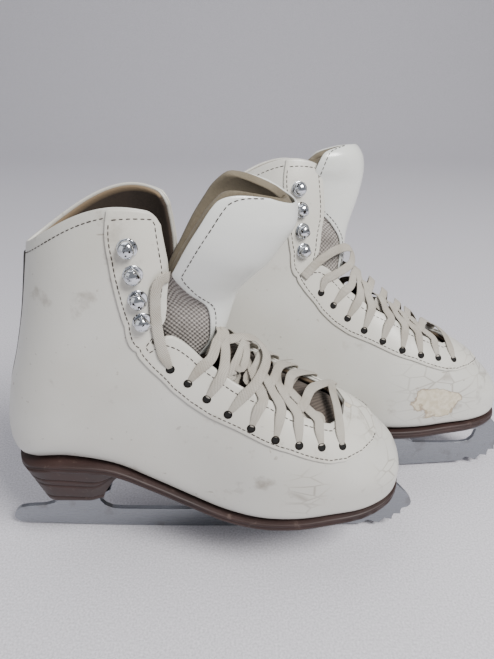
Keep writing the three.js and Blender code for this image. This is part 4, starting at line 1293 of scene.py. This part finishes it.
def tongue_skin(skate, r, s):
    """Points of the tongue's front. r: 0 foot to 10 top; s: -1 to 1 across."""
    r, s = np.broadcast_arrays(np.asarray(r, float), np.asarray(s, float))
    sx, sz, ex, ez, y, _ = np.moveaxis(tongue_rows(skate, r), -1, 0)
    a = np.abs(s) * np.pi / 2
    k = 1 - np.cos(a)
    return np.stack([sx + (ex - sx) * k, np.sign(s) * y * np.sin(a), sz + (ez - sz) * k], -1)


def tongue_at(skate, r, s, offset):
    r, s = np.broadcast_arrays(np.asarray(r, float), np.asarray(s, float))
    w = np.clip(s, -0.97, 0.97)
    up = tongue_skin(skate, np.minimum(r + 0.05, 10), w) - tongue_skin(skate, np.maximum(r - 0.05, 0), w)
    across = tongue_skin(skate, r, w + 0.01) - tongue_skin(skate, r, w - 0.01)
    n = unit(np.cross(across, up))
    return tongue_skin(skate, r, s) + n * np.asarray(offset, float)[..., None], n


def tongue_layer(skate, rows, share, out, into, columns=41, marks=None):
    r = np.broadcast_to(rows[:, None], (len(rows), columns))
    s = np.linspace(-1, 1, columns)[None] * share[:, None]
    outer, _ = tongue_at(skate, r, s, np.full(r.shape, out))
    inner, _ = tongue_at(skate, r, s, np.full(r.shape, into))
    return closed_grid(outer, inner, 1, 1, "rim", "rim", marks)


def tongue(skate):
    """The padded tongue with its white face, mesh sides and stitching."""
    body = f"{skate}_tongue"
    rows = np.linspace(0.3, 10, 70)
    round_top = np.sqrt(np.clip(1 - (np.clip(rows - 8.6, 0, 1.4) / 1.6) ** 2, 0.05, 1))
    points, faces, uv, _ = tongue_layer(skate, rows, 0.98 * round_top, -1.3, -6.2)
    padding = mesh_object(f"{skate}-tongue-padding", points, faces, skate, TONGUE_SUEDE, uv)
    keep(padding, body, "taupe_suede", f"{skate}_tongue_padding")
    share = lambda r: np.minimum(tongue_rows(skate, r)[:, 5], 0.985)
    rows = np.linspace(0.4, 9.35, 70)
    cut = np.sqrt(np.clip(1 - (np.clip(rows - 8.2, 0, 1.3) / 1.5) ** 2, 0.03, 1))
    points, faces, uv, _ = tongue_layer(skate, rows, share(rows) * cut, 1.5, 0.3)
    face = mesh_object(f"{skate}-tongue-face", points, faces, skate, TONGUE_WHITE, uv)
    keep(face, body, "tongue_leather", f"{skate}_tongue_shell")
    rows = np.linspace(0.4, 4.9, 40)
    sides = []
    for side in SIDES:
        low, high = np.clip(share(rows) - 0.06, 0, 0.9), 0.985
        s = side * (low[:, None] + np.maximum(high - low, 0.02)[:, None] * np.linspace(0, 1, 14))
        r = np.broadcast_to(rows[:, None], s.shape)
        outer, _ = tongue_at(skate, r, s, np.full(s.shape, 0.2))
        inner, _ = tongue_at(skate, r, s, np.full(s.shape, -1.0))
        sides.append(closed_grid(outer, inner, 1, 1)[:3])
    mesh = joined(f"{skate}-tongue-mesh", sides, skate, MESH)
    keep(mesh, body, "grey_mesh", f"{skate}_tongue_mesh")
    spots = []
    for side in SIDES:
        rows = np.linspace(0.8, 9.2, 160)
        cut = np.sqrt(np.clip(1 - (np.clip(rows - 8.2, 0, 1.3) / 1.5) ** 2, 0.03, 1))
        spots += seam_spots(*tongue_at(skate, rows, side * (share(rows) - 0.07) * cut,
            np.full(160, 1.5)), 3.4)
    stitches = repeated(f"{skate}-tongue-stitching", STITCHES, spots, skate, 0.12)
    keep(stitches, body, "tongue_leather")


def tongue_base(skate):
    """The tongue's front part, lying under the throat in front of the raised part."""
    rows = np.linspace(4.95, 8.8, 40)
    v = np.concatenate([np.linspace(0.7, 1, 16), np.linspace(1, 0.7, 16)[1:]])
    side = np.concatenate([-np.ones(16), np.ones(15)])
    t = np.broadcast_to(rows[:, None], (len(rows), len(v)))
    v, side = np.broadcast_to(v, t.shape), np.broadcast_to(side, t.shape)
    outer, inner = (at(t, v, side, np.full(t.shape, o)) for o in (-6.2, -9.2))
    points, faces, uv, _ = closed_grid(outer, inner, 1, 1)
    obj = mesh_object(f"{skate}-tongue-base", points, faces, skate, BASE_CLOTH, uv)
    keep(obj, f"{skate}_skate", "grey_mesh", f"{skate}_tongue_base")


# ---- Laces -------------------------------------------------------------------------------
def strand(knots, width=6.4, thick=1.25):
    """A flat lace through (t, v, side, offset, width share) places on and over the boot."""
    rows = []
    for t, v, side, offset, share in knots:
        n = skin_normal(np.array(t), np.array(v), side)
        rows.append(np.concatenate([skin(t, v, side) + n * offset, n, [share]]))
    path = through(np.array(rows), 1.2)
    return swept(path[:, :3], path[:, 3:6], width, thick, 12, path[:, 6])[:3]


def from_eyelet(i, side):
    t, v = EYELETS[i]
    return [(t, v, side, -5.0, 0.55), (t, v, side, -2.6, 0.5), (t, v + 0.002, side, 0.8, 0.5)]


def crossing(i, side, picks, over=2.7):
    """Out of an eyelet, over its own facing edge, across the throat and under the other edge."""
    out = from_eyelet(i, side)
    lifts = [2.2, over] + [1.6] * len(picks)
    out += [(t, v, side, lift, 1.0) for (t, v), lift in zip(picks, lifts)]
    return out


def tucked(i, side):
    """Where a strand goes under the facing edge, one eyelet nearer the ankle."""
    t, v = EYELETS[max(i - 1, 0)]
    edge = float(facing_v(t))
    return [(t - 0.05, edge + 0.05, side, -3.2, 1), (t, edge - 0.03, side, -5.4, 0.8),
        (t, v, side, -5.6, 0.55)]


NEAR_PICKS = {
    7: [(5.84, 0.755), (5.91, 0.803), (6.31, 0.845), (6.88, 0.9)],
    6: [(6.49, 0.739), (6.57, 0.787), (6.87, 0.83), (7.24, 0.89)],
    5: [(7.08, 0.731), (7.12, 0.780), (7.42, 0.828), (7.72, 0.88)],
    4: [(7.75, 0.699), (7.65, 0.758), (7.86, 0.797), (8.17, 0.86)],
    2: [(9.20, 0.679), (9.10, 0.732), (9.13, 0.804), (9.28, 0.878), (9.50, 0.96)],
    1: [(9.95, 0.688), (9.68, 0.756), (9.64, 0.835), (9.64, 0.93)],
}
OVER_PICKS = {
    8: [(6.08, 0.958), (6.37, 0.851), (6.49, 0.80)],
    7: [(6.79, 0.976), (6.96, 0.865), (7.10, 0.80)],
    6: [(7.23, 0.985), (7.43, 0.879), (7.61, 0.805)],
    5: [(7.85, 0.985), (8.02, 0.88), (8.2, 0.80)],
    4: [(8.5, 0.985), (8.65, 0.87), (8.78, 0.76)],
}


def laces(skate):
    """Every strand of one boot's lace, joined into one piece."""
    near = -1 if skate == "right" else 1
    parts = []
    bottom = from_eyelet(8, near) + [(5.16, 0.77, near, 2.1, 1), (5.2, 0.84, near, 2.3, 1),
        (5.25, 0.92, near, 2.6, 1)]
    bottom += [(5.3, 1.0, near, 2.6, 1), (5.25, 0.92, -near, 2.5, 1), (5.2, 0.84, -near, 2.3, 1),
        (5.14, 0.77, -near, 2.1, 1)]
    parts.append(strand(bottom + from_eyelet(8, -near)[::-1]))
    for i, picks in NEAR_PICKS.items():
        parts.append(strand(crossing(i, near, picks) + tucked(i, -near)))
    for i, picks in OVER_PICKS.items():
        t, v = EYELETS[i]
        edge = float(facing_v(t + 0.15))
        far = from_eyelet(i, -near) + [(t + 0.02, (v + edge) / 2, -near, 1.9, 1),
            (t + 0.12, edge + 0.005, -near, 3.0, 1)]
        over = [(a, b, near, o, 1) for (a, b), o in zip(picks, (3.6, 2.6, 0.2))]
        parts.append(strand(far + over + tucked(i, near)))
    if skate == "right":
        loop = [(8.28, 0.708), (8.01, 0.79), (7.86, 0.887), (7.92, 0.953), (8.25, 0.994), (8.62, 0.982),
            (9.01, 0.942)]
        lifts = (2.4, 4.6, 7.0, 7.6, 7.0, 5.0, 1.0)
        knots = from_eyelet(3, near) + [(t, v, near, o, 1) for (t, v), o in zip(loop, lifts)]
        parts.append(strand(knots + [(9.3, 0.9, near, -2.0, 1), (9.5, 0.84, near, -4.6, 0.9),
            (9.7, 0.76, near, -5.4, 0.7)]))
        thin = [(8.5, 0.819, 3.0), (8.46, 0.887, 4.0), (8.54, 0.943, 4.0), (8.69, 0.968, 2.6)]
        knots = [(8.95, 0.72, near, -4.4, 0.7), (8.76, 0.80, near, 0.0, 0.8)] + [(t, v, near, o,
            0.8) for t, v, o in thin]
        parts.append(strand(knots + [(8.9, 0.9, -near, -1.5, 0.8), (9.1, 0.8, -near, -4.6, 0.8)]))
        long = [(11.5, 0.63, 2.2), (11.95, 0.656, 2.3), (13.42, 0.706, 2.6), (15.13, 0.713, 2.9),
            (15.92, 0.717, 3.0),
                (16.12, 0.745, 3.0), (15.9, 0.772, 2.6)]
        knots = from_eyelet(0, near) + [(t, v, near, o, 1) for t, v, o in long]
        parts.append(strand(knots + [(15.6, 0.8, near, -0.6, 1), (15.4, 0.79, near, -3.2, 1),
            (15.2, 0.76, near, -5.3, 0.9)]))
        short = [(10.9, 0.7, 2.2), (10.6, 0.735, 2.6), (10.4, 0.8, 0.5)]
        knots = from_eyelet(0, -near) + [(t, v, -near, o, 1) for t, v, o in short]
        parts.append(strand(knots + [(10.2, 0.84, -near, -3.0, 1), (9.9, 0.84, -near, -6.0, 0.8)]))
    else:
        for row in LEFT_LOOPS:
            parts.append(strand(row))
    obj = joined(f"{skate}-lace", parts, skate, LACE)
    keep(obj, f"{skate}_skate", "lace_cotton", f"{skate}_lace")


LEFT_LOOPS = [
    from_eyelet(0, 1)
    + [(11.2, 0.66, 1, 2.2, 1), (10.9, 0.71, 1, 3.0, 1), (10.5, 0.78, 1, 4.0, 1),
        (10.2, 0.86, 1, 6.0, 1), (10.5, 0.93, 1, 8.0, 1),
       (11.1, 0.9, 1, 7.0, 1), (11.7, 0.82, 1, 4.4, 1), (12.1, 0.75, 1, 3.0, 1),
           (12.4, 0.69, 1, 2.4, 1), (12.55, 0.62, 1, 2.0, 1)],
    from_eyelet(3, 1) + [(8.5, 0.7, 1, 2.2, 1), (8.5, 0.74, 1, 2.9, 1), (8.7, 0.8, 1, 1.4, 1),
        (9.0, 0.88, 1, 1.0, 1)] + tucked(3, -1),
]


# ---- Put everything together -----------------------------------------------------------------
for skate in SKATES:
    upper(skate)
    eyestay(skate)
    lining(skate)
    floor_slab(skate, "insole-board", -1.0, 1.2, -6.0, FOOTBED, "tan_footbed", "insole_board")
    floor_slab(skate, "footbed", 1.6, 5.0, -7.0, FOOTBED, "tan_footbed", "footbed")
    back_seam(skate)
    stitching(skate)
    small_metal(skate)
    outsole(skate)
    heel(skate)
    blade(skate)
    plates(skate)
    tongue(skate)
    tongue_base(skate)
    laces(skate)


def stage():
    """A pale floor that curves up into a wall behind, soft lights and a pale surround."""
    mat = plain_material("pale floor", rgb(226, 224, 231), 0.7)
    profile = [(-3.0, 0.0), (1.2, 0.0)]
    profile += [(1.2 + 0.8 * math.sin(a), 0.8 * (1 - math.cos(a))) for a in np.linspace(0.05,
        math.pi / 2, 24)]
    profile += [(2.0, 4.0)]
    points = [(x, y, z) for x in (-4.0, 4.0) for y, z in profile]
    n = len(profile)
    mesh = bpy.data.meshes.new("floor")
    mesh.from_pydata(points, [], [[i, i + 1, n + i + 1, n + i] for i in range(n - 1)])
    mesh.shade_smooth()
    mesh.materials.append(mat)
    floor = bpy.data.objects.new("floor", mesh)
    bpy.context.scene.collection.objects.link(floor)
    for name, spot, aim, size, power, color in (
        ("window light", (0.75, -0.75, 1.35), (0.0, 0, 0.1), 0.6, 38, (1.0, 0.985, 0.96)),
        ("ceiling light", (-0.5, 0.2, 1.9), (0.0, 0, 0.0), 1.4, 10, (0.97, 0.98, 1.0)),
        ("fill light", (-1.3, -1.0, 0.8), (0.0, 0, 0.1), 1.5, 5, (1.0, 1.0, 1.0)),
    ):
        light = bpy.data.lights.new(name, "AREA")
        light.shape = "SQUARE"
        light.size = size
        light.energy = power
        light.color = color
        lamp = bpy.data.objects.new(name, light)
        direction = Vector(aim) - Vector(spot)
        lamp.matrix_world = Matrix.Translation(spot) @ direction.to_track_quat("-Z",
            "Y").to_matrix().to_4x4()
        bpy.context.scene.collection.objects.link(lamp)
    world = bpy.data.worlds.new("pale surround")
    world.use_nodes = True
    back = world.node_tree.nodes["Background"]
    back.inputs["Color"].default_value = rgb(222, 224, 230)
    back.inputs["Strength"].default_value = 0.36
    bpy.context.scene.world = world


stage()
